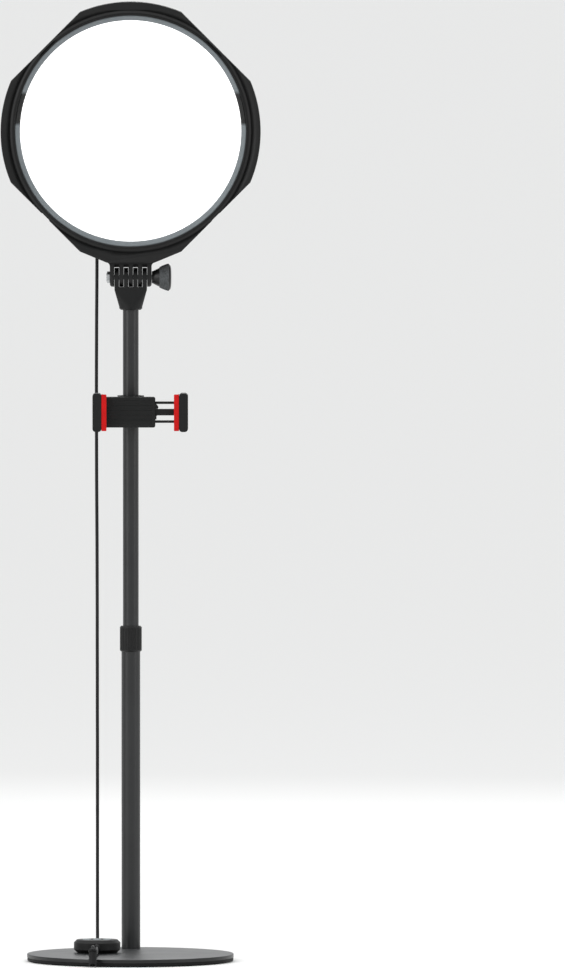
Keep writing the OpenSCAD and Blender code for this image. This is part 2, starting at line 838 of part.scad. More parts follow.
module clamp_half(side) {
    on_pole() on_holder() difference() {
        union() {
            cylinder(r = clamp_r, h = clamp_h, center = true);
            block([0, -ear_y, -ear_half], [ear_x, ear_y, ear_half]);
            block([ear_left, -ear_y, -ear_half - 4], [0, ear_y, ear_half + 4]);
        }
        cylinder(r = liner_r + press_gap, h = clamp_h + 2 * cut, center = true);
        translate([-2 * ear_x, side > 0 ? -4 * ear_y + slip_gap : -slip_gap, -clamp_h])
            cube([4 * ear_x, 4 * ear_y, 2 * clamp_h]);
        translate([clamp_screw_x, 0, 0]) rod_y(-ear_y + 1.5, ear_y + cut, clamp_screw_r + run_gap);
        for (z = [-ear_half, ear_half]) translate([side_screw_x, 0, z])
            rod_y(-ear_y + 1.5, ear_y + cut, side_screw_r + press_gap);
    }
}

module clamp_body() {
    color("#262626") {
        clamp_half(-1);
        on_holder() difference() {
            for (x = [-1, 1]) translate([x * (hinge_half + lug_gap + lug_t / 2), hinge_y, 0]) {
                rod_x(-lug_t / 2, lug_t / 2, hinge_r);
                block([-lug_t / 2, 0, -hinge_r], [lug_t / 2, hinge_reach - clamp_r + 3.5, hinge_r]);
            }
            translate([0, hinge_y, 0]) rod_x(-3 * hinge_half, 3 * hinge_half, tilt_pin_r + press_gap);
        }
    }
}

module clamp_cap() {
    color("#262626") clamp_half(1);
}

module clamp_liner() {
    color("#151515") on_pole() on_holder() difference() {
        translate([0, 0, -clamp_h / 2 + 1]) cylinder(r = liner_r, h = clamp_h - 2);
        cylinder(r = upper_r + run_gap, h = clamp_h + 2 * cut, center = true);
        block([-2 * liner_r, -0.4, -clamp_h], [0, 0.4, clamp_h]);
    }
}

module clamp_screws() {
    color("silver") on_pole() on_holder() for (z = [-ear_half, ear_half]) translate([side_screw_x, 0, z]) {
        rod_y(-ear_y + 2, ear_y + cut, side_screw_r);
        rod_y(ear_y + press_gap, ear_y + 2, side_screw_r + 1.3);
    }
}

module clamp_knob() {
    color("#1c1c1c") on_pole() on_holder() translate([clamp_screw_x, 0, 0]) {
        rod_y(-ear_y + 2, ear_y + 3, clamp_screw_r);
        difference() {
            rod_y(ear_y + slip_gap, ear_y + knob2_t, knob2_r);
            rotate([90, 0, 0]) around(5) translate([knob2_r + 2.4, 0, -ear_y - knob2_t - cut])
                cylinder(r = 4, h = knob2_t + 2 * cut, $fn = 48);
        }
    }
}

module tilt_pin() {
    color("silver") on_holder() translate([0, hinge_y, 0]) {
        rod_x(-hinge_half - lug_gap - lug_t - 1.4, hinge_half + lug_gap + lug_t + 1.4, tilt_pin_r);
        for (x = [-1, 1]) translate([x * (hinge_half + lug_gap + lug_t + 0.8), 0, 0])
            rod_x(-0.7, 0.7, tilt_pin_r + 1.2);
    }
}

module pivot_block() {
    color("#202020") on_holder() difference() {
        union() {
            translate([0, hinge_y, 0]) rod_x(-hinge_half, hinge_half, hinge_r);
            block([-hinge_half, disc_y + disc_t - cut, -hinge_r], [hinge_half, hinge_y, hinge_r]);
            rod_y(disc_y, disc_y + disc_t, disc_r);
        }
        translate([0, hinge_y, 0]) rod_x(-2 * hinge_half, 2 * hinge_half, tilt_pin_r + run_gap);
        rod_y(disc_y - cut, disc_y + swivel_in - 2, swivel_r + press_gap);
    }
}

module swivel_screw() {
    color("silver") on_holder() {
        rod_y(back_y - swivel_head_t - 0.6, back_y - 0.6, swivel_head_r);
        rod_y(back_y - 1, disc_y + swivel_in - 2.2, swivel_r);
    }
}

module holder_body() {
    color("#242424") on_holder() difference() {
        union() {
            translate([(body_x0 + body_x1) / 2, back_y, 0]) rotate([90, 0, 0])
                linear_extrude(body_t) round_rect(body_x1 - body_x0, 2 * body_half, 2);
            rod_y(back_y - cut, back_y + boss_t, disc_r);
        }
        difference() {
            block([body_x0 + body_wall, slide_y - slip_gap, -slide_half - slip_gap],
                [body_x1 + cut, slide_y + slide_t + slip_gap, slide_half + slip_gap]);
            for (z = [-slot_z, slot_z])
                block([body_x1 - post_t, slide_y - cut, z - slot_half + slip_gap],
                    [body_x1, slide_y + slide_t + cut, z + slot_half - slip_gap]);
        }
        rod_y(back_y - swivel_head_t - 1.2, back_y, swivel_head_r + slip_gap);
        rod_y(back_y - cut, back_y + boss_t + cut, swivel_r + run_gap);
    }
}

// A jaw seen from the front, with its inner face at x = 0 and its body towards positive x
module jaw_shell() {
    translate([jaw_t / 2, back_y, 0]) rotate([90, 0, 0])
        linear_extrude(jaw_depth) round_rect(jaw_t, jaw_h, jaw_round);
}

// Rubber of a jaw: a wall against the phone's side and a lip in front of it, from x = 0 to negative x
module jaw_pad() {
    block([-grip_pad_t, jaw_front, -pad_half], [0, jaw_front + pad_depth, pad_half]);
    block([-grip_pad_t - grip_lip, jaw_front, -pad_half], [0, jaw_front + pad_lip_t, pad_half]);
}

module fixed_jaw() {
    color("#2b2b2b") on_holder() translate([body_x0, 0, 0]) mirror([1, 0, 0]) jaw_shell();
}

module fixed_pad() {
    color("#d71f1f") on_holder() translate([body_x0, 0, 0]) mirror([1, 0, 0]) jaw_pad();
}

module jaw_springs() {
    line = [
        for (i = [0:spring_turns * 10])
            [
                slot_x + 0.5 + i * (body_x1 - post_t - slot_x - 1) / (spring_turns * 10),
                slide_y + slide_t / 2 + spring_r * sin(36 * i),
                spring_r * cos(36 * i)
            ]
    ];
    color("silver") on_holder() for (z = [-slot_z, slot_z]) translate([0, 0, z])
        swept(line, 0, spring_turns * 10, spring_wire, 5, [1, 0, 0]);
}

module sliding_jaw() {
    color("#2b2b2b") on_holder() {
        translate([slide_x + grip_pad_t, 0, 0]) jaw_shell();
        block([foot_x, slide_y - 1, -slide_half], [slide_x + grip_pad_t + 3, back_y - 1, slide_half]);
        difference() {
            block([tongue_x, slide_y, -slide_half], [foot_x + cut, slide_y + slide_t, slide_half]);
            for (z = [-slot_z, slot_z])
                block([slot_x, slide_y - cut, z - slot_half],
                    [foot_x, slide_y + slide_t + cut, z + slot_half]);
        }
    }
}

module sliding_pad() {
    color("#d71f1f") on_holder() translate([slide_x + grip_pad_t, 0, 0]) jaw_pad();
}

// ---- Hand control ----

module on_control() {
    translate([control_x, control_y, 0]) children();
}

// Grooves for the two strain reliefs, shared by both shells
module relief_grooves() {
    translate([0, 0, control_mid]) {
        rod_y(control_r - relief_in, control_r + cut, relief_neck_r + press_gap);
        rod_y(-control_r - cut, -control_r + relief_in, relief_neck_r + press_gap);
    }
}

module controller_base() {
    color("#222222") on_control() difference() {
        rotate_extrude() polygon([
            [0, control_z], [control_r - control_bevel, control_z], [control_r, control_z + control_bevel],
            [control_r, control_mid], [control_r - control_wall, control_mid],
            [control_r - control_wall, control_z + control_bevel + 0.6],
            [control_r - control_bevel - 1, control_z + control_wall], [0, control_z + control_wall]
        ]);
        relief_grooves();
    }
}

module controller_cover() {
    color("#2a2a2a") on_control() difference() {
        rotate_extrude() polygon([
            [0, control_top], [control_r - control_bevel, control_top],
            [control_r, control_top - control_bevel],
            [control_r, control_mid], [control_r - control_wall, control_mid],
            [control_r - control_wall, control_top - control_bevel - 0.6],
            [control_r - control_bevel - 1, control_top - control_wall], [0, control_top - control_wall]
        ]);
        relief_grooves();
        for (i = [-1:1]) translate([i * button_pitch, 0, control_top - control_wall - cut])
            cylinder(r = button_r + slip_gap, h = control_wall + 2 * cut);
    }
}

module controller_board() {
    color("#1f5a34") on_control() {
        translate([0, 0, control_pcb_z]) cylinder(r = control_pcb_r, h = board_t);
        for (turn = [45:90:315]) rotate(turn) translate([control_posts, 0, control_z + control_wall])
            cylinder(r = 1.4, h = control_pcb_z - control_z - control_wall + 0.5);
        for (i = [-1:1]) translate([i * button_pitch, 0, control_pcb_z])
            cylinder(r = switch_r, h = board_t + 1.4);
    }
}

module controller_pad() {
    color("#0f0f0f") on_control() translate([0, 0, base_top])
        cylinder(r = control_r - control_bevel - 1, h = control_foot);
}

module push_button(i) {
    flange_top = control_top - control_wall - 0.1;
    color("#aeb8bb") on_control() translate([i * button_pitch, 0, 0]) {
        translate([0, 0, flange_top - button_flange_t]) cylinder(r = button_flange_r, h = button_flange_t);
        translate([0, 0, flange_top - cut / 2])
            cylinder(r = button_r, h = control_top + button_rise - flange_top + cut / 2);
        translate([0, 0, control_pcb_z + board_t + 1.4 + button_travel + 0.1])
            cylinder(r = switch_r - 0.4,
                h = flange_top - control_pcb_z - board_t - 1.4 - button_travel - 0.1);
    }
}

module power_button() {
    push_button(-1);
}

module dimmer_button() {
    push_button(0);
}

module tone_button() {
    push_button(1);
}

module rear_relief() {
    color("#161616") on_control() translate([0, 0, control_mid]) rotate([-90, 0, 0])
        rotate_extrude() polygon([
        [0, control_r - relief_in - 1.2], [relief_neck_r + 1.2, control_r - relief_in - 1.2],
        [relief_neck_r + 1.2, control_r - relief_in - press_gap],
        [relief_neck_r, control_r - relief_in - press_gap],
        [relief_neck_r, control_r + press_gap], [relief_r, control_r + press_gap],
        [gland_tip_r, control_r + relief_tail], [0, control_r + relief_tail]
    ]);
}

module front_relief() {
    color("#2c2c2c") on_control() translate([0, 0, control_mid]) rotate([90, 0, 0]) rotate_extrude() polygon([
        [0, control_r - relief_in - 1.2], [relief_neck_r + 1.2, control_r - relief_in - 1.2],
        [relief_neck_r + 1.2, control_r - relief_in - press_gap],
        [relief_neck_r, control_r - relief_in - press_gap],
        [relief_neck_r, control_r + press_gap], [front_relief_r, control_r + press_gap],
        [front_relief_r, control_r + 2], [gland_tip_r, control_r + front_relief_tail],
        [0, control_r + front_relief_tail]
    ]);
}

// ---- Cords ----

module lead_part(first, last) {
    color("#141414") swept(smooth_line(lead_route, lead_steps), first * lead_steps, last * lead_steps,
        cord_r, cord_sides, [1, 0, 0]);
}

module lead_upper() {
    lead_part(0, lead_split_up);
}

module lead_middle() {
    lead_part(lead_split_up, lead_split_low);
}

module lead_lower() {
    lead_part(lead_split_low, len(lead_route) - 1);
}

module outlet_cord() {
    color("#141414") swept(smooth_line(outlet_route, outlet_steps), 0, (len(outlet_route) - 1) * outlet_steps,
        cord_r, cord_sides, [1, 0, 0]);
}

module power_socket() {
    r = power_d / 2;
    color("#222222") translate(power_at) rotate([power_lean - 90, 0, 0]) difference() {
        rotate_extrude() polygon([
            [0, 0], [r - 0.5, 0], [r, 0.5], [r, power_len - 5], [r - 0.5, power_len - 4.5],
            [r - 0.5, power_len - 3.4], [r + 0.5, power_len - 3.2], [r + 0.5, power_len - 1.2],
            [r - 0.6, power_len], [0, power_len]
        ]);
        translate([0, 0, -cut]) ring(0.9, power_hole_r, 0, power_hole + cut);
    }
}

base_plate();
base_pan();
base_pad();
pan_screws();
pole_bolt();
foot_insert();
lower_tube();
collet();
lock_collar();
tube_bush();
upper_tube();
socket_fitting();
tilt_bracket();
tilt_screw();
tilt_knob();
dome_nut();
front_bezel();
rear_cover();
window_ring();
panel_gasket();
diffuser();
light_guide();
reflector();
led_strip();
led_chips();
heat_ring();
back_plate();
driver_board();
head_screws();
head_gland();
clamp_body();
clamp_cap();
clamp_liner();
clamp_screws();
clamp_knob();
tilt_pin();
pivot_block();
swivel_screw();
holder_body();
fixed_jaw();
fixed_pad();
jaw_springs();
sliding_jaw();
sliding_pad();
controller_base();
controller_cover();
controller_board();
controller_pad();
power_button();
dimmer_button();
tone_button();
rear_relief();
front_relief();
lead_lower();
lead_middle();
lead_upper();
outlet_cord();
power_socket();
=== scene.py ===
# A desk-standing ring light on a two-stage pole, with a spring phone holder and a hand control.
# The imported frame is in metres; pieces are modelled in millimetres and brought to metres when they are finished.
import bpy
import bmesh
import json
import math
from mathutils import Matrix, Vector

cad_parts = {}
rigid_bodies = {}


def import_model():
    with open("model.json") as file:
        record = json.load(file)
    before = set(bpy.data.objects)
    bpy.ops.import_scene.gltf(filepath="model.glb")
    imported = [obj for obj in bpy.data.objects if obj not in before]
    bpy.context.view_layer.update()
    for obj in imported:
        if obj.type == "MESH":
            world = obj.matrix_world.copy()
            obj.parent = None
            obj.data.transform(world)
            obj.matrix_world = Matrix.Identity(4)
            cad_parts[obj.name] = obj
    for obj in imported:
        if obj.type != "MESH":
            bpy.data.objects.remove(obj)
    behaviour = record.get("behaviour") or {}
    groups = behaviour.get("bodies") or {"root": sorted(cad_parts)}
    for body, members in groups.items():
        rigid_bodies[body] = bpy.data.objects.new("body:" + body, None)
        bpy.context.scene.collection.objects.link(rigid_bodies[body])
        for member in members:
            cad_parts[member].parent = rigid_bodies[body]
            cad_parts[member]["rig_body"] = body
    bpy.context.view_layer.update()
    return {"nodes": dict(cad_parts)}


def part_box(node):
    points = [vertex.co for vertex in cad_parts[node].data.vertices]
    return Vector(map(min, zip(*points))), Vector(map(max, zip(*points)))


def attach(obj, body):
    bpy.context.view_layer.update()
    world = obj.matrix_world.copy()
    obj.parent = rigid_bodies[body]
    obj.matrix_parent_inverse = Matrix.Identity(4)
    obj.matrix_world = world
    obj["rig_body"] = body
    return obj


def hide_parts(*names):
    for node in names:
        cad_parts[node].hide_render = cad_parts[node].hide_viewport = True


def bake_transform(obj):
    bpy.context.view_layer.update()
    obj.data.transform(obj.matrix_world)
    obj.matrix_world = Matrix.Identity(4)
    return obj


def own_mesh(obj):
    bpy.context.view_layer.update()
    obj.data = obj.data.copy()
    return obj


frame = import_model()
mm = 0.001
print("frame loaded:", len(frame["nodes"]), "nodes")


# ---- small helpers ----

def deselectAll():
    if bpy.context.mode != "OBJECT":
        bpy.ops.object.mode_set(mode="OBJECT")
    bpy.ops.object.select_all(action="DESELECT")


def makeActive(piece):
    deselectAll()
    piece.select_set(True)
    bpy.context.view_layer.objects.active = piece


def startEdit(name):
    # the primitive that was just added gets its name and is opened, all of it selected
    piece = bpy.context.object
    piece.name = piece.data.name = name
    bpy.ops.object.mode_set(mode="EDIT")
    bpy.ops.mesh.select_all(action="SELECT")
    return piece


def pick(kind, test):
    # faces are tested by their middle and normal, edges by both ends, points by their place
    bpy.ops.mesh.select_mode(type={"faces": "FACE", "edges": "EDGE", "points": "VERT"}[kind])
    bpy.ops.mesh.select_all(action="DESELECT")
    mesh = bmesh.from_edit_mesh(bpy.context.object.data)
    if kind == "faces":
        for face in mesh.faces:
            face.select_set(bool(test(face.calc_center_median(), face.normal)))
    elif kind == "edges":
        for edge in mesh.edges:
            edge.select_set(bool(test(edge.verts[0].co, edge.verts[1].co)))
    else:
        for point in mesh.verts:
            point.select_set(bool(test(point.co)))
    mesh.select_flush_mode()
    bmesh.update_edit_mesh(bpy.context.object.data)


def drawOut(x=0, y=0, z=0):
    bpy.ops.mesh.extrude_region_move(TRANSFORM_OT_translate={"value": (x, y, z)})


def cleanMesh():
    # merges doubles and turns every face outwards
    bpy.ops.mesh.select_all(action="SELECT")
    bpy.ops.mesh.remove_doubles(threshold=0.0005)
    bpy.ops.mesh.normals_make_consistent(inside=False)


def closeHoles():
    bpy.ops.mesh.select_all(action="SELECT")
    bpy.ops.mesh.fill_holes(sides=0)


def addModifier(piece, kind, **settings):
    makeActive(piece)
    modifier = piece.modifiers.new(kind.lower(), kind)
    for setting, value in settings.items():
        setattr(modifier, setting, value)
    bpy.ops.object.modifier_apply(modifier=modifier.name)


def roundEdges(piece, width, segments=3, angle=35):
    makeActive(piece)
    bpy.ops.object.shade_smooth()
    addModifier(piece, "BEVEL", width=width, segments=segments, limit_method="ANGLE",
                angle_limit=math.radians(angle), harden_normals=True, miter_outer="MITER_ARC")


def cutWith(piece, cutter, operation="DIFFERENCE"):
    addModifier(piece, "BOOLEAN", object=cutter, operation=operation, solver="EXACT")
    bpy.data.objects.remove(cutter)


def joinPieces(pieces):
    makeActive(pieces[0])
    for piece in pieces:
        piece.select_set(True)
    bpy.ops.object.join()
    return pieces[0]


def copyPiece(piece, name, place=(0, 0, 0), turn=0, axis="Z"):
    # a copy with a mesh of its own, turned about an axis through the origin and then moved
    copy = piece.copy()
    copy.data = piece.data.copy()
    copy.name = copy.data.name = name
    bpy.context.scene.collection.objects.link(copy)
    copy.data.transform(Matrix.Translation(place) @ Matrix.Rotation(math.radians(turn), 4, axis))
    return copy


def finishPiece(piece, body, material, nodes=(), turn=Matrix.Identity(4), place=(0, 0, 0), smooth=30):
    # puts a piece in its place in metres, with its object at the origin, and hands it to the frame
    deselectAll()
    piece.data.transform(Matrix.Scale(mm, 4) @ Matrix.Translation(place) @ turn.to_4x4() @ piece.matrix_world)
    piece.matrix_world = Matrix.Identity(4)
    makeActive(piece)
    if smooth:
        bpy.ops.object.shade_smooth_by_angle(angle=math.radians(smooth))
    piece.data.materials.clear()
    piece.data.materials.append(material)
    if body:
        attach(piece, body)
    if nodes:
        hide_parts(*nodes)
    return piece


def turnShape(name, outline, sides=96, closed=False):
    # a circle drawn out along Z and resized step by step, as on a lathe; outline holds radius and height
    deselectAll()
    radius, height = outline[0]
    bpy.ops.mesh.primitive_circle_add(vertices=sides, radius=radius, location=(0, 0, 0))
    piece = startEdit(name)
    bpy.ops.transform.translate(value=(0, 0, height))
    for nextRadius, nextHeight in outline[1:]:
        drawOut(z=nextHeight - height)
        if nextRadius != radius:
            bpy.ops.transform.resize(value=(nextRadius / radius, nextRadius / radius, 1),
                                     center_override=(0, 0, nextHeight))
        radius, height = nextRadius, nextHeight
    cleanMesh()
    if not closed:
        closeHoles()
    cleanMesh()
    bpy.ops.object.mode_set(mode="OBJECT")
    return piece


def arcPoints(middle, radius, first, last, steps):
    # radius and height of points along an arc, for a turned outline
    turns = [math.radians(first + (last - first) * i / steps) for i in range(steps + 1)]
    return [(middle[0] + radius * math.cos(t), middle[1] + radius * math.sin(t)) for t in turns]


def copyNode(node):
    # a copy of a CAD node in millimetres, its points merged and its flat faces made whole
    deselectAll()
    piece = frame["nodes"][node].copy()
    piece.data = piece.data.copy()
    piece.parent = None
    for key in list(piece.keys()):
        del piece[key]
    first, *rest = node.split("_")
    piece.name = piece.data.name = first + "".join(word.capitalize() for word in rest)
    bpy.context.scene.collection.objects.link(piece)
    piece.hide_render = piece.hide_viewport = False
    piece.data.transform(Matrix.Scale(1 / mm, 4))
    makeActive(piece)
    bpy.ops.mesh.customdata_custom_splitnormals_clear()
    bpy.ops.object.mode_set(mode="EDIT")
    bpy.ops.mesh.select_all(action="SELECT")
    bpy.ops.mesh.remove_doubles(threshold=0.002)
    bpy.ops.mesh.mark_sharp(clear=True)
    bpy.ops.mesh.dissolve_limited(angle_limit=math.radians(0.6))
    bpy.ops.object.mode_set(mode="OBJECT")
    return piece


def refineNode(node, material, width=0.35, segments=2, angle=32):
    # a CAD shape with its edges broken, on the body that it rides on
    piece = copyNode(node)
    if width:
        roundEdges(piece, width, segments, angle)
    return finishPiece(piece, frame["nodes"][node]["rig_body"], material, (node,), smooth=0 if width else 30)


def flatShape(name, points, depth, edge=0.0):
    # a flat outline given a thickness and a rounded edge, its middle plane at height 0
    curve = bpy.data.curves.new(name, "CURVE")
    curve.dimensions = "2D"
    curve.fill_mode = "BOTH"
    spline = curve.splines.new("POLY")
    spline.points.add(len(points) - 1)
    for corner, (x, y) in zip(spline.points, points):
        corner.co = (x, y, 0, 1)
    spline.use_cyclic_u = True
    curve.extrude = depth / 2 - edge
    curve.bevel_depth = edge
    curve.bevel_resolution = 2
    curve.offset = -edge
    piece = bpy.data.objects.new(name, curve)
    bpy.context.scene.collection.objects.link(piece)
    makeActive(piece)
    bpy.ops.object.convert(target="MESH")
    piece = bpy.context.object
    piece.name = piece.data.name = name
    bpy.ops.object.mode_set(mode="EDIT")
    cleanMesh()
    bpy.ops.object.mode_set(mode="OBJECT")
    return piece


# ---- places, all from the frame, in millimetres ----

def nodeBox(node):
    low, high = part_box(node)
    return Vector(low) / mm, Vector(high) / mm


def nodeMiddle(node):
    low, high = nodeBox(node)
    return (low + high) / 2


poleY = nodeMiddle("lower_tube").y
pinHeight = nodeMiddle("tilt_screw").z
headHeight = nodeMiddle("diffuser").z
holderHeight = nodeMiddle("clamp_liner").z
controlMiddle = nodeMiddle("controller_cover")
baseTop = nodeBox("base_plate")[1].z
# the head's own plane: X right, Y up, Z towards the front, with its middle on the pole's axis
headTurn = Matrix.Rotation(math.radians(90), 3, "X")
headPlace = (0, poleY, headHeight)
alongX = Matrix.Rotation(math.radians(90), 3, "Y")


# ---- camera, light and floor ----

camera = {
    "aim": (0.1593, 0.086, 0.4961),
    "elevation": 2.42,
    "distance": 24,
    "lens": 850,
}

lights = {
    # name: place, width, height, watts
    "overhead": ((0.0, 0.1, 3.2), 2.4, 2.4, 14),
    "leftBox": ((-2.6, -1.8, 1.6), 0.9, 2.2, 30),
    "rightBox": ((2.8, -1.4, 1.4), 0.6, 2.0, 14),
    "backBox": ((0.4, 2.8, 1.7), 2.2, 1.2, 14),
}

room = {"floor": "#f6f6f5", "air": "#f8f9fa", "strength": 0.62, "radius": 70, "sun": 1.0, "sunSpread": 100}


def linear(colour):
    # sRGB hex to the linear values that the shaders take
    parts = [int(colour[i:i + 2], 16) / 255 for i in (1, 3, 5)]
    return [c / 12.92 if c <= 0.04045 else ((c + 0.055) / 1.055) ** 2.4 for c in parts] + [1]


def addCamera():
    tilt = math.radians(camera["elevation"])
    back = Vector((0, -math.cos(tilt), math.sin(tilt)))
    bpy.ops.object.camera_add(location=Vector(camera["aim"]) + camera["distance"] * back)
    eye = bpy.context.object
    eye.rotation_euler = (math.radians(90) - tilt, 0, 0)
    eye.data.lens = camera["lens"]
    eye.data.sensor_width = 36
    eye.data.clip_end = 150
    bpy.context.scene.camera = eye


def addLights():
    for name, (place, width, height, watts) in lights.items():
        deselectAll()
        bpy.ops.object.light_add(type="AREA", location=place)
        lamp = bpy.context.object
        lamp.name = name
        lamp.data.shape = "RECTANGLE"
        lamp.data.size, lamp.data.size_y = width, height
        lamp.data.energy = watts
        lamp.rotation_euler = (Vector((0, 0, 0.5)) - Vector(place)).to_track_quat("-Z", "Y").to_euler()
    # a very wide sun lights the whole floor alike
    bpy.ops.object.light_add(type="SUN", location=(0, 0, 4), rotation=(math.radians(12), math.radians(-10), 0))
    bpy.context.object.data.energy = room["sun"]
    bpy.context.object.data.angle = math.radians(room["sunSpread"])
    air = bpy.data.worlds.new("studioAir")
    air.use_nodes = True
    air.node_tree.nodes["Background"].inputs["Color"].default_value = linear(room["air"])
    air.node_tree.nodes["Background"].inputs["Strength"].default_value = room["strength"]
    bpy.context.scene.world = air
    bpy.context.scene.view_settings.view_transform = "Standard"


def addFloor():
    deselectAll()
    bpy.ops.mesh.primitive_circle_add(vertices=96, radius=room["radius"], fill_type="NGON", location=(0, 0, -0.0002))
    floor = bpy.context.object
    floor.name = "studioFloor"
    paper = bpy.data.materials.new("mattStudioPaper")
    paper.use_nodes = True
    shader = paper.node_tree.nodes["Principled BSDF"]
    shader.inputs["Base Color"].default_value = linear(room["floor"])
    shader.inputs["Roughness"].default_value = 0.9
    floor.data.materials.append(paper)


deselectAll()
addCamera()
addLights()
addFloor()
print("camera, lights and floor")


# ---- materials ----

def newMaterial(name):
    material = bpy.data.materials.new(name)
    material.use_nodes = True
    return material, material.node_tree.nodes["Principled BSDF"]


def addNode(material, kind, settings=None, values=None, links=None):
    # settings are the node's own, values its sockets' numbers, links run from another node's output to a socket
    node = material.node_tree.nodes.new(kind)
    for setting, value in (settings or {}).items():
        setattr(node, setting, value)
    for socket, value in (values or {}).items():
        node.inputs[socket].default_value = value
    for socket, source in (links or {}).items():
        material.node_tree.links.new(source, node.inputs[socket])
    return node


def colourStops(ramp, stops):
    # stops are places from 0 to 1 and sRGB colours
    for place, colour in stops[2:]:
        ramp.color_ramp.elements.new(place)
    for element, (place, colour) in zip(ramp.color_ramp.elements, sorted(stops)):
        element.position = place
        element.color = linear(colour)


def mouldedPlastic(name, colour, lighter, grain, roughness, depth, gloss=0.5):
    # ABS from a spark-eroded mould: an even fine grain that breaks the highlight, and faint flow mottling
    material, shader = newMaterial(name)
    place = addNode(material, "ShaderNodeTexCoord")
    flow = addNode(material, "ShaderNodeTexNoise", values={"Scale": 1 / 0.035, "Detail": 3.0},
                   links={"Vector": place.outputs["Object"]})
    tint = addNode(material, "ShaderNodeValToRGB", links={"Fac": flow.outputs["Fac"]})
    colourStops(tint, [(0.3, colour), (0.72, lighter)])
    material.node_tree.links.new(tint.outputs["Color"], shader.inputs["Base Color"])
    # the real grain is about 0.1 mm, drawn coarser so that it shows
    sparks = addNode(material, "ShaderNodeTexNoise", values={"Scale": 1 / (grain * mm), "Detail": 2.0, "Roughness": 0.6},
                     links={"Vector": place.outputs["Object"]})
    rub = addNode(material, "ShaderNodeMapRange",
                  values={"From Min": 0.3, "From Max": 0.7, "To Min": roughness - 0.05, "To Max": roughness + 0.07},
                  links={"Value": sparks.outputs["Fac"]})
    material.node_tree.links.new(rub.outputs["Result"], shader.inputs["Roughness"])
    bump = addNode(material, "ShaderNodeBump", values={"Strength": 0.5, "Distance": depth * mm},
                   links={"Height": sparks.outputs["Fac"]})
    material.node_tree.links.new(bump.outputs["Normal"], shader.inputs["Normal"])
    shader.inputs["IOR"].default_value = 1.52
    shader.inputs["Specular IOR Level"].default_value = gloss
    return material


def powderCoat(name, colour, lighter, roughness, rim=None):
    # powder-coated steel: a satin skin with a slight orange peel from the oven
    material, shader = newMaterial(name)
    place = addNode(material, "ShaderNodeTexCoord")
    peel = addNode(material, "ShaderNodeTexNoise", values={"Scale": 1 / 0.0021, "Detail": 2.0},
                   links={"Vector": place.outputs["Object"]})
    dust = addNode(material, "ShaderNodeTexNoise", values={"Scale": 1 / 0.048, "Detail": 4.0, "Roughness": 0.6},
                   links={"Vector": place.outputs["Object"]})
    tint = addNode(material, "ShaderNodeValToRGB", links={"Fac": dust.outputs["Fac"]})
    colourStops(tint, [(0.32, colour), (0.7, lighter)])
    skin = tint.outputs["Color"]
    if rim:
        # painted shade: the upright rim is coloured darker than the flat top, as the top takes more of the light
        lie = addNode(material, "ShaderNodeSeparateXYZ", links={"Vector": place.outputs["Normal"]})
        paintedShadeFactor = addNode(material, "ShaderNodeMapRange", values={"From Min": 0.25, "From Max": 0.7},
                        links={"Value": lie.outputs["Z"]})
        mixed = addNode(material, "ShaderNodeMixRGB", values={"Color1": linear(rim)},
                        links={"Fac": paintedShadeFactor.outputs["Result"], "Color2": skin})
        skin = mixed.outputs["Color"]
    material.node_tree.links.new(skin, shader.inputs["Base Color"])
    wear = addNode(material, "ShaderNodeMapRange",
                   values={"From Min": 0.3, "From Max": 0.7, "To Min": roughness - 0.03, "To Max": roughness + 0.05},
                   links={"Value": dust.outputs["Fac"]})
    material.node_tree.links.new(wear.outputs["Result"], shader.inputs["Roughness"])
    bump = addNode(material, "ShaderNodeBump", values={"Strength": 0.35, "Distance": 0.00006},
                   links={"Height": peel.outputs["Fac"]})
    material.node_tree.links.new(bump.outputs["Normal"], shader.inputs["Normal"])
    shader.inputs["IOR"].default_value = 1.5
    return material


def mouldedRubber(name, colour, darker, roughness):
    # silicone rubber: matt, a soft sheen at the edges, and a little bloom on the surface
    material, shader = newMaterial(name)
    place = addNode(material, "ShaderNodeTexCoord")
    bloom = addNode(material, "ShaderNodeTexNoise", values={"Scale": 1 / 0.009, "Detail": 4.0},
                    links={"Vector": place.outputs["Object"]})
    tint = addNode(material, "ShaderNodeValToRGB", links={"Fac": bloom.outputs["Fac"]})
    colourStops(tint, [(0.3, darker), (0.68, colour)])
    material.node_tree.links.new(tint.outputs["Color"], shader.inputs["Base Color"])
    skin = addNode(material, "ShaderNodeTexNoise", values={"Scale": 1 / 0.0005, "Detail": 2.0},
                   links={"Vector": place.outputs["Object"]})
    bump = addNode(material, "ShaderNodeBump", values={"Strength": 0.4, "Distance": 0.00008},
                   links={"Height": skin.outputs["Fac"]})
    material.node_tree.links.new(bump.outputs["Normal"], shader.inputs["Normal"])
    shader.inputs["Roughness"].default_value = roughness
    shader.inputs["Specular IOR Level"].default_value = 0.25
    shader.inputs["Sheen Weight"].default_value = 0.03
    shader.inputs["IOR"].default_value = 1.43
    return material


def grittyRubber(name, colour, lighter, grit):
    # rubber filled with light grit for grip: fine pale specks that stand out a little from a dark matt ground
    material, shader = newMaterial(name)
    place = addNode(material, "ShaderNodeTexCoord")
    specks = addNode(material, "ShaderNodeTexNoise", values={"Scale": 1 / (grit * mm), "Detail": 1.0},
                     links={"Vector": place.outputs["Object"]})
    tint = addNode(material, "ShaderNodeValToRGB", links={"Fac": specks.outputs["Fac"]})
    colourStops(tint, [(0.38, colour), (0.66, lighter)])
    material.node_tree.links.new(tint.outputs["Color"], shader.inputs["Base Color"])
    bump = addNode(material, "ShaderNodeBump", values={"Strength": 0.6, "Distance": 0.0002},
                   links={"Height": specks.outputs["Fac"]})
    material.node_tree.links.new(bump.outputs["Normal"], shader.inputs["Normal"])
    shader.inputs["Roughness"].default_value = 0.72
    shader.inputs["IOR"].default_value = 1.45
    return material


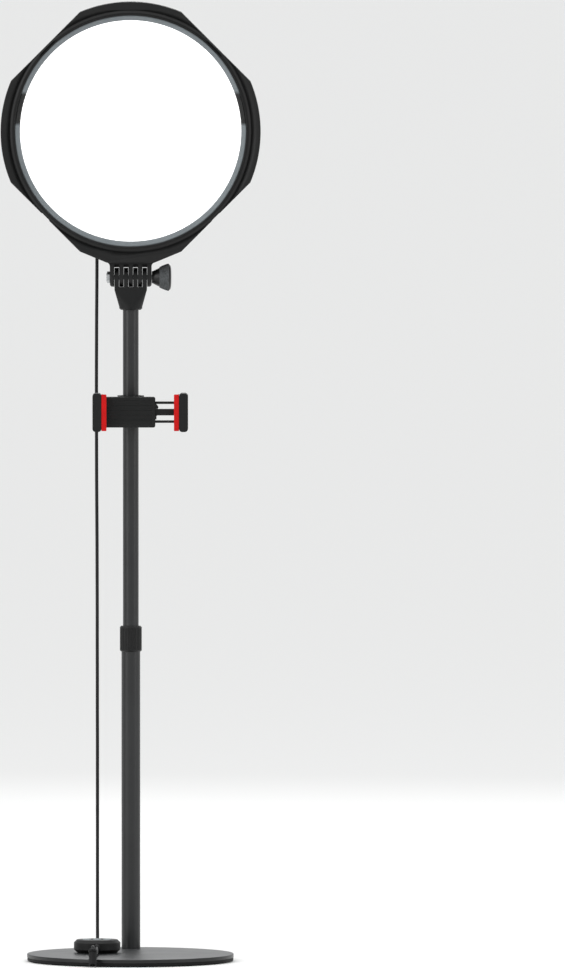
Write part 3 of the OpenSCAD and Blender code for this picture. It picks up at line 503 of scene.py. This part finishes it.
def platedMetal(name, colour, darker, roughness, stretch=(1, 1, 1)):
    # plated or spun metal: fine lines from the tool, drawn at 0.25 mm so that they show, and slight staining
    material, shader = newMaterial(name)
    place = addNode(material, "ShaderNodeTexCoord")
    lie = addNode(material, "ShaderNodeMapping", values={"Scale": stretch}, links={"Vector": place.outputs["Object"]})
    lines = addNode(material, "ShaderNodeTexNoise", values={"Scale": 1 / 0.00025, "Detail": 2.0},
                    links={"Vector": lie.outputs["Vector"]})
    stain = addNode(material, "ShaderNodeTexNoise", values={"Scale": 1 / 0.012, "Detail": 3.0},
                    links={"Vector": place.outputs["Object"]})
    tint = addNode(material, "ShaderNodeValToRGB", links={"Fac": stain.outputs["Fac"]})
    colourStops(tint, [(0.3, darker), (0.7, colour)])
    material.node_tree.links.new(tint.outputs["Color"], shader.inputs["Base Color"])
    rub = addNode(material, "ShaderNodeMapRange",
                  values={"From Min": 0.3, "From Max": 0.7, "To Min": roughness - 0.06, "To Max": roughness + 0.08},
                  links={"Value": lines.outputs["Fac"]})
    material.node_tree.links.new(rub.outputs["Result"], shader.inputs["Roughness"])
    bump = addNode(material, "ShaderNodeBump", values={"Strength": 0.25, "Distance": 0.00003},
                   links={"Height": lines.outputs["Fac"]})
    material.node_tree.links.new(bump.outputs["Normal"], shader.inputs["Normal"])
    shader.inputs["Metallic"].default_value = 1
    return material


def litOpal(name, glow, strength):
    # opal acrylic lit from its edge: an even white glow, a touch weaker near the rim, under a satin surface
    material, shader = newMaterial(name)
    place = addNode(material, "ShaderNodeTexCoord")
    centred = addNode(material, "ShaderNodeMapping", values={"Location": (0, 0, -headHeight * mm)},
                      links={"Vector": place.outputs["Object"]})
    flat = addNode(material, "ShaderNodeVectorMath", {"operation": "MULTIPLY"}, {1: (1, 0, 1)},
                   {0: centred.outputs["Vector"]})
    radius = addNode(material, "ShaderNodeVectorMath", {"operation": "LENGTH"}, links={0: flat.outputs["Vector"]})
    fall = addNode(material, "ShaderNodeMapRange",
                   values={"From Min": 0.098, "From Max": 0.118, "To Min": strength, "To Max": strength * 0.93},
                   links={"Value": radius.outputs["Value"]})
    material.node_tree.links.new(fall.outputs["Result"], shader.inputs["Emission Strength"])
    shader.inputs["Emission Color"].default_value = linear(glow)
    shader.inputs["Base Color"].default_value = linear("#f4f5f5")
    shader.inputs["Roughness"].default_value = 0.42
    shader.inputs["IOR"].default_value = 1.49
    return material


def rimGreyPaintedReflection(name, colour, lighter):
    # satin grey with a painted reflection: one near black stretch each side, a little above the middle, painted where
    # the rim would mirror the dark lip
    material = mouldedPlastic(name, colour, lighter, 0.5, 0.62, 0.03, 0.1)
    nodes, links = material.node_tree.nodes, material.node_tree.links
    shader = next(node for node in nodes if node.bl_idname == "ShaderNodeBsdfPrincipled")
    plain = shader.inputs["Base Color"].links[0].from_socket
    place = addNode(material, "ShaderNodeTexCoord")
    split = addNode(material, "ShaderNodeSeparateXYZ", links={"Vector": place.outputs["Object"]})
    stretch = addNode(material, "ShaderNodeMapRange",
                      values={"From Min": (headHeight + 5) * mm, "From Max": (headHeight + 42) * mm},
                      links={"Value": split.outputs["Z"]})
    paintedReflectionMask = addNode(material, "ShaderNodeValToRGB", links={"Fac": stretch.outputs["Result"]})
    colourStops(paintedReflectionMask, [(0.0, "#ffffff"), (0.1, "#000000"), (0.9, "#000000"), (1.0, "#ffffff")])
    # the near black colour mixed in here is the painted reflection of the lip
    mixed = addNode(material, "ShaderNodeMixRGB", values={"Color1": linear("#0b0c0c")},
                    links={"Fac": paintedReflectionMask.outputs["Color"], "Color2": plain})
    links.new(mixed.outputs["Color"], shader.inputs["Base Color"])
    return material


finishes = {
    "headBlack": mouldedPlastic("sparkTexturedAbsBlack", "#0f1010", "#151515", 0.45, 0.45, 0.05, 0.28),
    "jointBlack": mouldedPlastic("sparkTexturedNylonBlack", "#0e0f0f", "#131414", 0.4, 0.5, 0.05, 0.25),
    "knobBlack": mouldedPlastic("satinAbsKnobBlack", "#101111", "#161717", 0.35, 0.36, 0.03, 0.3),
    "gripGrey": grittyRubber("grittyRubberGrip", "#2a2c2d", "#5e6163", 0.7),
    "tubeBlack": powderCoat("powderCoatedTubeCharcoal", "#1a1b1c", "#202122", 0.34),
    # the rim colour here is painted shade on the plate's upright edge
    "plateGrey": powderCoat("powderCoatedPlateGraphitePaintedRimShade", "#303233", "#393b3c", 0.34, rim="#0c0d0d"),
    "panBlack": mouldedPlastic("mouldedPanBlack", "#070808", "#0b0c0c", 0.6, 0.6, 0.06, 0.2),
    "padRubber": mouldedRubber("gripRubberRed", "#c60808", "#b40606", 0.62),
    "footRubber": mouldedRubber("naturalRubberBlack", "#141414", "#0f0f0f", 0.8),
    "reliefRubber": mouldedRubber("cordReliefRubberBlack", "#101011", "#0b0b0c", 0.55),
    "zinc": platedMetal("zincPlatedSteel", "#c3c5c6", "#a2a5a7", 0.3),
    "rimGrey": rimGreyPaintedReflection("satinAbsRimGreyPaintedReflection", "#62686b", "#6b7174"),
    "opal": litOpal("litOpalAcrylic", "#ffffff", 1.15),
    "buttonGrey": mouldedPlastic("satinAbsButtonGrey", "#a5aeb1", "#b2babd", 0.4, 0.45, 0.03),
    "aluminium": platedMetal("rolledAluminium", "#b9bbbd", "#a4a6a8", 0.4),
    "boardGreen": mouldedPlastic("solderMaskGreen", "#17492a", "#1f5a34", 0.8, 0.35, 0.02),
    "acetal": mouldedPlastic("naturalAcetal", "#dcdcd4", "#e6e6de", 0.6, 0.5, 0.02),
    "clear": mouldedPlastic("polishedAcrylic", "#dfe7ea", "#e8eff1", 0.8, 0.12, 0.01),
    "film": mouldedPlastic("reflectorFilmWhite", "#f0f0ee", "#f6f6f4", 0.8, 0.4, 0.01),
    "cordBlack": mouldedRubber("pvcCordJacketBlack", "#1d1d1e", "#161617", 0.45),
}
print("materials:", len(finishes))


# ---- cords: their routes are the part's own, point for point ----

cordSettings = {
    "diameter": 3.5,
    "sides": 16,
    "stepsBetween": 6,
    # where the upper stretch ends and the lower one starts, as places along the lead's points
    "upperEnd": 7,
    "lowerStart": 11,
}

leadRoute = [
    (-35.5, 92, 733.6), (-35.5, 92, 722), (-35.6, 91, 700), (-35.8, 89, 670), (-35.9, 87, 640),
    (-36, 85, 610), (-36, 84, 575), (-35.9, 82, 540), (-35.8, 81, 505), (-35.6, 80, 470),
    (-35.4, 79, 435), (-35.3, 78, 400), (-35.2, 77, 365), (-35.2, 77, 330), (-35.1, 76, 295),
    (-35.1, 76, 260), (-35, 75, 225), (-35, 75, 190), (-35, 74, 155), (-35, 74, 120),
    (-35, 73, 85), (-35, 72, 55), (-35, 70, 35), (-34.9, 64, 21), (-34.9, 57, 15.6),
    (-34.9, 49.9, 14.7),
]

outletRoute = [
    (-34.9, -18.9, 14.7), (-34.9, -26, 14), (-35, -36, 12), (-35.2, -47, 10.5), (-35.5, -59, 10.6),
    (-36.2, -71, 12.4), (-37, -82, 15.8), (-37.8, -91, 19.1), (-38.3, -98, 20.8), (-38.6, -102, 20.6),
    (-38.6, -104.6, 19.4), (-38.6, -106.45, 17.42),
]


def smoothRoute(points, steps):
    # the same smooth line through the points as the part's source draws
    places = [Vector(p) * mm for p in points]
    line = []
    for i in range(len(places) - 1):
        a, b = places[max(i - 1, 0)], places[i]
        c, d = places[i + 1], places[min(i + 2, len(places) - 1)]
        for k in range(steps):
            t = k / steps
            line.append(b + (c - a) * t / 2 + (2 * a - 5 * b + 4 * c - d) * t * t / 2
                        + (3 * b - a - 3 * c + d) * t * t * t / 2)
    return line + [places[-1]]


def makeCord(name, line):
    curve = bpy.data.curves.new(name, "CURVE")
    curve.dimensions = "3D"
    spline = curve.splines.new("POLY")
    spline.points.add(len(line) - 1)
    for point, place in zip(spline.points, line):
        point.co = (*place, 1)
    curve.bevel_depth = cordSettings["diameter"] / 2 * mm
    curve.bevel_resolution = cordSettings["sides"] // 4 - 1
    curve.use_fill_caps = True
    cord = bpy.data.objects.new(name, curve)
    bpy.context.scene.collection.objects.link(cord)
    makeActive(cord)
    bpy.ops.object.convert(target="MESH")
    cord = bpy.context.object
    cord.name = cord.data.name = name
    bpy.ops.object.shade_smooth_by_angle(angle=math.radians(50))
    cord.data.materials.clear()
    cord.data.materials.append(finishes["cordBlack"])
    return cord


def makeLead():
    steps = cordSettings["stepsBetween"]
    line = smoothRoute(leadRoute, steps)
    upperEnd, lowerStart = cordSettings["upperEnd"] * steps, cordSettings["lowerStart"] * steps
    stretches = {"leadUpper": line[:upperEnd + 1], "leadMiddle": line[upperEnd:lowerStart + 1],
                 "leadLower": line[lowerStart:]}
    cords = {name: makeCord(name, stretch) for name, stretch in stretches.items()}
    for name, node in (("leadUpper", "lead_upper"), ("leadMiddle", "lead_middle"), ("leadLower", "lead_lower")):
        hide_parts(node)
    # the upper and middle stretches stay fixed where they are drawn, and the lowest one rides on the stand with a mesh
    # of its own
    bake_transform(cords["leadUpper"])
    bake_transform(cords["leadMiddle"])
    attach(cords["leadLower"], "stand")
    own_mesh(cords["leadLower"])


def makeOutletCord():
    line = smoothRoute(outletRoute, cordSettings["stepsBetween"])
    cord = makeCord("outletCord", line)
    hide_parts("outlet_cord")
    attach(cord, "stand")


# ---- the base ----

baseSettings = {"sides": 256, "bevel": 0.8, "bevelSteps": 5, "footChamfer": 0.3}


def makeBasePlate():
    low, high = nodeBox("base_plate")
    radius, bevel = high.x, baseSettings["bevel"]
    outline = [(radius - baseSettings["footChamfer"], low.z), (radius, low.z + baseSettings["footChamfer"])]
    outline += arcPoints((radius - bevel, high.z - bevel), bevel, 0, 90, baseSettings["bevelSteps"])
    plate = turnShape("basePlate", outline, baseSettings["sides"])
    finishPiece(plate, "stand", finishes["plateGrey"], ("base_plate",), smooth=35)


# ---- the tilt knob ----

knobSettings = {
    # radius and distance from the knob's inner face
    "core": [(6.2, 0), (6.5, 0.3), (6.5, 0.9), (7.1, 2.0), (9.9, 7.7), (10.2, 8.3), (11.6, 11.0), (12.9, 14.0),
             (13.5, 17.0), (13.5, 17.9), (13.0, 18.9), (11.9, 19.6), (9.8, 20.1), (6.6, 20.38), (3.0, 20.45)],
    "band": [(10.0, 8.6), (10.1, 8.0), (10.7, 7.9), (11.9, 10.2), (13.1, 13.0), (13.9, 15.4), (14.25, 16.7),
             (14.2, 17.6), (13.8, 18.1), (13.2, 18.0), (13.0, 17.2), (12.4, 14.2), (11.1, 11.2), (10.0, 8.6)],
    "bandSides": 168,
    "ribDepth": 0.3,
}


def makeTiltKnob():
    face = nodeBox("tilt_knob")[0].x
    settings = knobSettings
    place = (0, poleY, pinHeight)
    core = turnShape("tiltKnobCore", [(r, face + x) for r, x in settings["core"]], 128)
    finishPiece(core, "tilt_knob", finishes["knobBlack"], ("tilt_knob",), alongX, place, smooth=30)
    band = turnShape("tiltKnobGrip", [(r, face + x) for r, x in settings["band"]], settings["bandSides"], closed=True)
    # every second row of points on the outside goes in, which leaves fine ribs along the band
    makeActive(band)
    bpy.ops.object.mode_set(mode="EDIT")
    step = 2 * math.pi / settings["bandSides"]
    outside = [face + x for r, x in settings["band"][3:8]]
    pick("points", lambda p: any(abs(p.z - x) < 0.05 for x in outside) and round(math.atan2(p.y, p.x) / step) % 2)
    scale = 1 - settings["ribDepth"] / settings["band"][6][0]
    bpy.ops.transform.resize(value=(scale, scale, 1), center_override=(0, 0, 0))
    bpy.ops.object.mode_set(mode="OBJECT")
    finishPiece(band, "tilt_knob", finishes["gripGrey"], (), alongX, place, smooth=20)


# ---- the fingers of the head ----

bracketSettings = {"cornerRound": 2.6, "edge": 0.3, "filletRadius": 4.6, "filletHalfDepth": 9.4,
                   "webFoot": -143.1, "webBack": -8.0}


def makeTiltBracket():
    # the outer fingers have round lower corners and run up into the chin in a hollow curve
    bracket = copyNode("tilt_bracket")
    side = nodeBox("tilt_knob")[0].x - 0.3
    makeActive(bracket)
    bpy.ops.object.mode_set(mode="EDIT")
    pick("edges", lambda a, b: abs(abs(a.x) - side) < 0.01 and abs(abs(b.x) - side) < 0.01
         and max(a.z, b.z) < pinHeight + 0.5 and abs(a.x - b.x) < 0.01)
    bpy.ops.mesh.bevel(offset=bracketSettings["cornerRound"], segments=5, affect="EDGES")
    bpy.ops.object.mode_set(mode="OBJECT")
    roundEdges(bracket, bracketSettings["edge"], 2, 40)
    # a wedge with a hollow edge each side, from the finger's flank to the underside of the chin
    radius, top = bracketSettings["filletRadius"], -bezelSettings["chinDrop"] + 0.2
    for way in (1, -1):
        bow = [(way * (side + radius - radius * math.cos(math.radians(a))), top - radius + radius * math.sin(math.radians(a)))
               for a in range(0, 91, 15)]
        wedge = flatShape("filletWedge", [(way * (side - 1.5), top + 1), (way * (side - 1.5), top - radius)] + bow
                          + [(way * (side + radius), top + 1)], 2 * bracketSettings["filletHalfDepth"], 0.2)
        wedge.data.transform(Matrix.Translation(headPlace) @ headTurn.to_4x4())
        bracket = joinPieces([bracket, wedge])
    # behind the finger slots a web closes the gap up to the chin, clear of the lower fingers' tips
    bpy.ops.mesh.primitive_cube_add(size=1, location=(0, (bracketSettings["webFoot"] + top) / 2, bracketSettings["webBack"] / 2))
    web = bpy.context.object
    web.scale = (2 * side - 1, top - bracketSettings["webFoot"] + 0.8, -bracketSettings["webBack"])
    bpy.ops.object.transform_apply(location=True, scale=True)
    web.data.transform(Matrix.Translation(headPlace) @ headTurn.to_4x4())
    bracket = joinPieces([bracket, web])
    bracket.name = bracket.data.name = "tiltBracket"
    finishPiece(bracket, "head", finishes["headBlack"], ("tilt_bracket",), smooth=0)


# ---- the head's front shell ----

bezelSettings = {
    # the outline's middle lies a little below the middle of the lit disc
    "radius": 136.4, "flat": 126.4, "drop": 0.9, "chinDrop": 138.1, "chinAngle": 22.4,
    "back": -1, "face": 20, "wall": 2.2, "edge": 1.0,
    "lipFoot": 125.5, "lipOuter": 124.1, "opening": 121.2, "lipHeight": 1.6, "lipEdge": 0.35,
    "tubeEnd": 11.6, "tubeOuter": 123.6,
    "notchWidth": 11, "notchDepth": 1.0,
    "grooves": ((121.9, 0.8, 20.2), (126.3, 0.6, 19.3)),
    "sides": 240,
}


def outlineFace(name, height):
    # a disc with four slanted flats cut off it and the chin drawn down from its foot
    settings = bezelSettings
    radius, angle = settings["radius"], math.radians(settings["chinAngle"])
    deselectAll()
    bpy.ops.mesh.primitive_circle_add(vertices=settings["sides"], radius=radius, fill_type="NGON", location=(0, 0, 0))
    piece = startEdit(name)
    for turn in (45, 135, 225, 315):
        way = Vector((math.cos(math.radians(turn)), math.sin(math.radians(turn)), 0))
        bpy.ops.mesh.select_all(action="SELECT")
        bpy.ops.mesh.bisect(plane_co=way * settings["flat"], plane_no=way, clear_outer=True)
    bpy.ops.mesh.select_all(action="SELECT")
    foot = -radius * math.cos(angle)
    bpy.ops.mesh.bisect(plane_co=(0, foot, 0), plane_no=(0, -1, 0), clear_outer=True)
    pick("edges", lambda a, b: abs(a.y - foot) < 0.01 and abs(b.y - foot) < 0.01)
    chin = settings["chinDrop"] - settings["drop"]
    drawOut(y=-chin - foot)
    half = (radius / math.cos(angle) - chin) / math.tan(angle)
    bpy.ops.transform.resize(value=(half / (radius * math.sin(angle)), 1, 1), center_override=(0, 0, 0))
    cleanMesh()
    bpy.ops.transform.translate(value=(0, -settings["drop"], height))
    return piece


def makeBezel():
    settings = bezelSettings
    outlineFace("frontBezel", settings["back"])
    bpy.ops.mesh.dissolve_limited(angle_limit=math.radians(0.1))
    bpy.ops.mesh.delete(type="ONLY_FACE")
    bpy.ops.mesh.select_all(action="SELECT")
    drawOut(z=settings["face"] - settings["edge"] - settings["back"])
    # the front edge is rounded in small steps, each a little higher and a little smaller
    middle, radius, height = (0, -settings["drop"], 0), settings["radius"], settings["face"] - settings["edge"]
    rim = arcPoints((radius - settings["edge"], height), settings["edge"], 0, 90, 4)
    for (lastRadius, lastHeight), (nextRadius, nextHeight) in zip(rim, rim[1:]):
        drawOut(z=nextHeight - lastHeight)
        scale = nextRadius / lastRadius
        bpy.ops.transform.resize(value=(scale, scale, 1), center_override=middle)
    # the front is filled between the outline and the opening's edge, then that edge is drawn up into the lip and back down into the opening
    bpy.ops.mesh.select_all(action="DESELECT")
    bpy.ops.mesh.primitive_circle_add(vertices=settings["sides"], radius=settings["lipFoot"],
                                      location=(0, 0, settings["face"]))
    pick("edges", lambda a, b: abs(a.z - settings["face"]) < 0.001 and abs(b.z - settings["face"]) < 0.001)
    bpy.ops.mesh.fill(use_beauty=False)
    pick("edges", lambda a, b: max(abs(a.xy.length - settings["lipFoot"]), abs(b.xy.length - settings["lipFoot"])) < 0.02
         and min(a.z, b.z) > settings["face"] - 0.01)
    radius, top = settings["lipFoot"], settings["face"] + settings["lipHeight"]
    height, edge = settings["face"], settings["lipEdge"]
    path = [(settings["lipOuter"] + edge, top - 0.4 * edge), (settings["lipOuter"], top),
            (settings["opening"] + edge, top), (settings["opening"], top - edge),
            (settings["opening"], settings["tubeEnd"]), (settings["tubeOuter"], settings["tubeEnd"]),
            (settings["tubeOuter"], settings["back"])]
    for nextRadius, nextHeight in path:
        drawOut(z=nextHeight - height)
        bpy.ops.transform.resize(value=(nextRadius / radius, nextRadius / radius, 1),
                                 center_override=(0, 0, nextHeight))
        radius, height = nextRadius, nextHeight
    # the bore ends at the open back, which is filled out to the outline again
    pick("edges", lambda a, b: abs(a.z - settings["back"]) < 0.001 and abs(b.z - settings["back"]) < 0.001)
    bpy.ops.mesh.fill(use_beauty=False)
    cleanMesh()
    bpy.ops.object.mode_set(mode="OBJECT")
    bezel = bpy.context.object
    for turn in (-45, -135):
        bpy.ops.mesh.primitive_cube_add(size=1)
        cutter = bpy.context.object
        cutter.scale = (2 * settings["notchDepth"], settings["notchWidth"], 3 * settings["face"])
        bpy.ops.object.transform_apply(scale=True)
        roundEdges(cutter, 0.4, 2)
        cutter.data.transform(Matrix.Translation((0, -settings["drop"], 0))
                              @ Matrix.Rotation(math.radians(turn), 4, "Z")
                              @ Matrix.Translation((settings["flat"], 0, 0)))
        cutWith(bezel, cutter)
    # the two thin dark rings round the opening are grooves, one in the lip and one at its foot
    for inner, width, floor in settings["grooves"]:
        cutWith(bezel, turnShape("grooveRing", [(inner, floor), (inner + width, floor),
                                                (inner + width, settings["face"] + 4), (inner, settings["face"] + 4),
                                                (inner, floor)],
                                 settings["sides"], closed=True))
    bezel.name = bezel.data.name = "frontBezel"
    finishPiece(bezel, "head", finishes["headBlack"], ("front_bezel",), headTurn, headPlace, smooth=28)


# ---- screws ----

screwSettings = {"crossWidth": 0.9, "crossDepth": 1.0, "dome": 0.45}


def partBoxes(node):
    # the lowest and highest corner of each separate solid of a CAD node
    source = copyNode(node)
    bpy.ops.object.mode_set(mode="EDIT")
    bpy.ops.mesh.select_all(action="SELECT")
    bpy.ops.mesh.separate(type="LOOSE")
    bpy.ops.object.mode_set(mode="OBJECT")
    boxes = []
    for part in list(bpy.context.selected_objects):
        places = [v.co for v in part.data.vertices]
        boxes.append((Vector([min(p[i] for p in places) for i in range(3)]),
                      Vector([max(p[i] for p in places) for i in range(3)])))
        bpy.data.objects.remove(part)
    return boxes


def makeScrewHead(name, radius, height):
    # a domed head with a cross recess, its seat at height 0 and its top towards Z
    dome = screwSettings["dome"]
    head = turnShape(name, [(radius * 0.96, 0), (radius, 0.12), (radius, height - dome - 0.35),
                            (radius * 0.95, height - dome - 0.1), (radius * 0.72, height - 0.18),
                            (radius * 0.4, height - 0.04), (radius * 0.1, height)], 40)
    for turn in (0, 90):
        bpy.ops.mesh.primitive_cube_add(size=1, location=(0, 0, height))
        cutter = bpy.context.object
        cutter.scale = (radius * 1.15, screwSettings["crossWidth"], 2 * screwSettings["crossDepth"])
        cutter.rotation_euler = (0, 0, math.radians(turn))
        cutWith(head, cutter)
    return head


def makeScrewHeads(node, name, radius, height, turn):
    # one head for each screw of the node, at the end that faces +Y, each turned a little differently
    first = makeScrewHead(name, radius, height)
    heads = []
    for i, (low, high) in enumerate(partBoxes(node)):
        seat = ((low.x + high.x) / 2, high.y - height, (low.z + high.z) / 2)
        spin = Matrix.Rotation(math.radians(37 * i + turn), 4, "Z")
        head = copyPiece(first, name + "Copy")
        head.data.transform(Matrix.Translation(seat) @ Matrix.Rotation(math.radians(-90), 4, "X") @ spin)
        heads.append(head)
    bpy.data.objects.remove(first)
    joined = joinPieces(heads)
    joined.name = joined.data.name = name
    finishPiece(joined, frame["nodes"][node]["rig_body"], finishes["zinc"], (node,), smooth=30)


# ---- the phone holder ----

padSettings = {"grooves": 9, "pitch": 3.9, "grooveRadius": 0.55, "edge": 0.7}
holderSettings = {"jawCorner": 3.0, "pocketMargin": 3.2, "pocketDepth": 0.8, "ribs": 4, "ribWidth": 1.4, "edge": 0.45}


def makePad(node):
    # rubber with rounded edges and grooves across the wall that touches the phone
    pad = copyNode(node)
    low, high = nodeBox(node)
    wall = low.x if node == "sliding_pad" else high.x
    wallFace = high.x - 1.6 if node == "sliding_pad" else low.x + 1.6
    roundEdges(pad, padSettings["edge"], 3)
    cutters = []
    for i in range(padSettings["grooves"]):
        height = holderHeight + (i - (padSettings["grooves"] - 1) / 2) * padSettings["pitch"]
        bpy.ops.mesh.primitive_cylinder_add(vertices=16, radius=padSettings["grooveRadius"], depth=8,
                                            location=(wallFace, high.y - 3, height), rotation=(math.radians(90), 0, 0))
        bpy.ops.object.transform_apply(location=True, rotation=True)
        cutters.append(bpy.context.object)
    cutWith(pad, joinPieces(cutters))
    finishPiece(pad, frame["nodes"][node]["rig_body"], finishes["padRubber"], (node,), smooth=30)


def makeJaw(node, width):
    # the outer corners are rounder than the other edges
    jaw = copyNode(node)
    low, high = nodeBox(node)
    outer = low.x if node == "fixed_jaw" else high.x
    makeActive(jaw)
    bpy.ops.object.mode_set(mode="EDIT")
    pick("edges", lambda a, b: abs(a.x - outer) < 0.05 and abs(b.x - outer) < 0.05 and abs(a.z - b.z) < 0.01
         and min(abs(a.z - low.z), abs(a.z - high.z)) < 0.05 and abs(a.y - b.y) > 5)
    bpy.ops.mesh.bevel(offset=holderSettings["jawCorner"], segments=6, affect="EDGES")
    bpy.ops.object.mode_set(mode="OBJECT")
    roundEdges(jaw, width, 3)
    finishPiece(jaw, frame["nodes"][node]["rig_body"], finishes["jointBlack"], (node,), smooth=30)


def makeHolderBody():
    # towards the phone the body has a shallow pocket with ribs across it
    body = copyNode("holder_body")
    low, high = nodeBox("holder_body")
    margin, ribs, rib = holderSettings["pocketMargin"], holderSettings["ribs"], holderSettings["ribWidth"]
    step = (high.z - low.z - 2 * margin + rib) / (ribs + 1)
    cutters = []
    for i in range(ribs + 1):
        height = low.z + margin + i * step + (step - rib) / 2
        bpy.ops.mesh.primitive_cube_add(size=1, location=((low.x + high.x) / 2, low.y, height))
        cutter = bpy.context.object
        cutter.scale = (high.x - low.x - 2 * margin, 2 * holderSettings["pocketDepth"], step - rib)
        bpy.ops.object.transform_apply(location=True, scale=True)
        cutters.append(cutter)
    cutWith(body, joinPieces(cutters))
    roundEdges(body, holderSettings["edge"], 2)
    finishPiece(body, "holder", finishes["jointBlack"], ("holder_body",), smooth=0)


# ---- the head's rear cover ----

coverSettings = {"vents": 9, "pitch": 5.2, "slotLength": 46, "slotWidth": 2.2, "slotDepth": 1.1, "firstRise": 46,
                 "ringRadius": 98, "ringWidth": 1.0, "ringDepth": 0.7, "edge": 0.6}


def makeRearCover():
    # blind vent slots above the middle and a thin groove round the flat back
    settings = coverSettings
    cover = copyNode("rear_cover")
    back = nodeBox("rear_cover")[1].y
    cutters = []
    for i in range(settings["vents"]):
        bpy.ops.mesh.primitive_cube_add(size=1, location=(0, back, headHeight + settings["firstRise"]
                                                          - i * settings["pitch"]))
        cutter = bpy.context.object
        cutter.scale = (settings["slotLength"], 2 * settings["slotDepth"], settings["slotWidth"])
        bpy.ops.object.transform_apply(location=True, scale=True)
        cutters.append(cutter)
    inner, outer = settings["ringRadius"], settings["ringRadius"] + settings["ringWidth"]
    depth = settings["ringDepth"]
    ring = turnShape("coverRing", [(inner, -depth), (outer, -depth), (outer, 2), (inner, 2), (inner, -depth)],
                     192, closed=True)
    ring.data.transform(Matrix.Translation((0, back, headHeight)) @ Matrix.Rotation(math.radians(-90), 4, "X"))
    cutWith(cover, joinPieces(cutters + [ring]))
    roundEdges(cover, settings["edge"], 3)
    finishPiece(cover, "head", finishes["headBlack"], ("rear_cover",), smooth=0)


# ---- CAD shapes that are right as they are: merged, edges broken, and given their finish ----

cadFinishes = {
    # node: slot, finish, width of the broken edge
    "base_pan": ("black_abs", "panBlack", 0.4),
    "base_pad": ("black_rubber", "footRubber", 0.2),
    "pan_screws": ("zinc_steel", "zinc", 0),
    "pole_bolt": ("zinc_steel", "zinc", 0),
    "lower_tube": ("black_tube", "tubeBlack", 0.3),
    "collet": ("black_nylon", "jointBlack", 0.15),
    "lock_collar": ("black_abs", "headBlack", 0.2),
    "upper_tube": ("black_tube", "tubeBlack", 0.3),
    "socket_fitting": ("black_nylon", "jointBlack", 0.6),
    "tilt_bracket": ("black_nylon", "jointBlack", 0.5),
    "tilt_screw": ("zinc_steel", "zinc", 0.3),
    "dome_nut": ("zinc_steel", "zinc", 0.4),
    "front_bezel": ("black_abs", "headBlack", 0.8),
    "rear_cover": ("black_abs", "headBlack", 0.6),
    "window_ring": ("rim_grey", "rimGrey", 0.12),
    "head_screws": ("zinc_steel", "zinc", 0.3),
    "head_gland": ("black_rubber", "reliefRubber", 0.2),
    "clamp_body": ("black_nylon", "jointBlack", 0.5),
    "clamp_cap": ("black_nylon", "jointBlack", 0.5),
    "clamp_liner": ("black_rubber", "footRubber", 0.2),
    "clamp_screws": ("zinc_steel", "zinc", 0.2),
    "clamp_knob": ("black_abs", "knobBlack", 0.5),
    "tilt_pin": ("zinc_steel", "zinc", 0.25),
    "pivot_block": ("black_nylon", "jointBlack", 0.35),
    "swivel_screw": ("zinc_steel", "zinc", 0.2),
    "holder_body": ("black_nylon", "jointBlack", 0.6),
    "fixed_jaw": ("black_nylon", "jointBlack", 1.0),
    "fixed_pad": ("red_rubber", "padRubber", 0.6),
    "sliding_jaw": ("black_nylon", "jointBlack", 0.3),
    "sliding_pad": ("red_rubber", "padRubber", 0.6),
    "controller_base": ("black_abs", "headBlack", 0.25),
    "controller_cover": ("black_abs", "headBlack", 0.4),
    "controller_pad": ("black_rubber", "footRubber", 0.15),
    "power_button": ("button_grey", "buttonGrey", 0.4),
    "dimmer_button": ("button_grey", "buttonGrey", 0.4),
    "tone_button": ("button_grey", "buttonGrey", 0.4),
    "rear_relief": ("black_rubber", "reliefRubber", 0.2),
    "front_relief": ("black_rubber", "reliefRubber", 0.2),
    "power_socket": ("black_rubber", "reliefRubber", 0.2),
}

# what is inside the housings keeps its CAD shape and gets its own finish
innerFinishes = {
    "foot_insert": "zinc", "tube_bush": "acetal", "panel_gasket": "footRubber", "diffuser": "opal",
    "light_guide": "clear", "reflector": "film", "led_strip": "film", "led_chips": "film", "heat_ring": "aluminium",
    "back_plate": "aluminium", "driver_board": "boardGreen", "jaw_springs": "zinc", "controller_board": "boardGreen",
}


def finishCadNodes():
    for node, (slot, finish, width) in cadFinishes.items():
        if frame["nodes"][node].hide_render:
            continue
        refineNode(node, finishes[finish], width)
    for node, finish in innerFinishes.items():
        materials = frame["nodes"][node].data.materials
        for i in range(len(materials)):
            materials[i] = finishes[finish]


makeBasePlate()
print("base")
makeTiltKnob()
makeTiltBracket()
makeBezel()
print("tilt knob, fingers and bezel")
makeScrewHeads("head_screws", "headScrews", 2.7, 1.8, 15)
makeScrewHeads("clamp_screws", "clampScrews", 2.8, 1.98, 50)
for node in ("fixed_pad", "sliding_pad"):
    makePad(node)
makeJaw("fixed_jaw", 0.8)
makeJaw("sliding_jaw", 0.3)
makeHolderBody()
makeRearCover()
print("screws, pads, holder and rear cover")
finishCadNodes()
print("CAD shapes finished")
makeLead()
makeOutletCord()
print("cords")
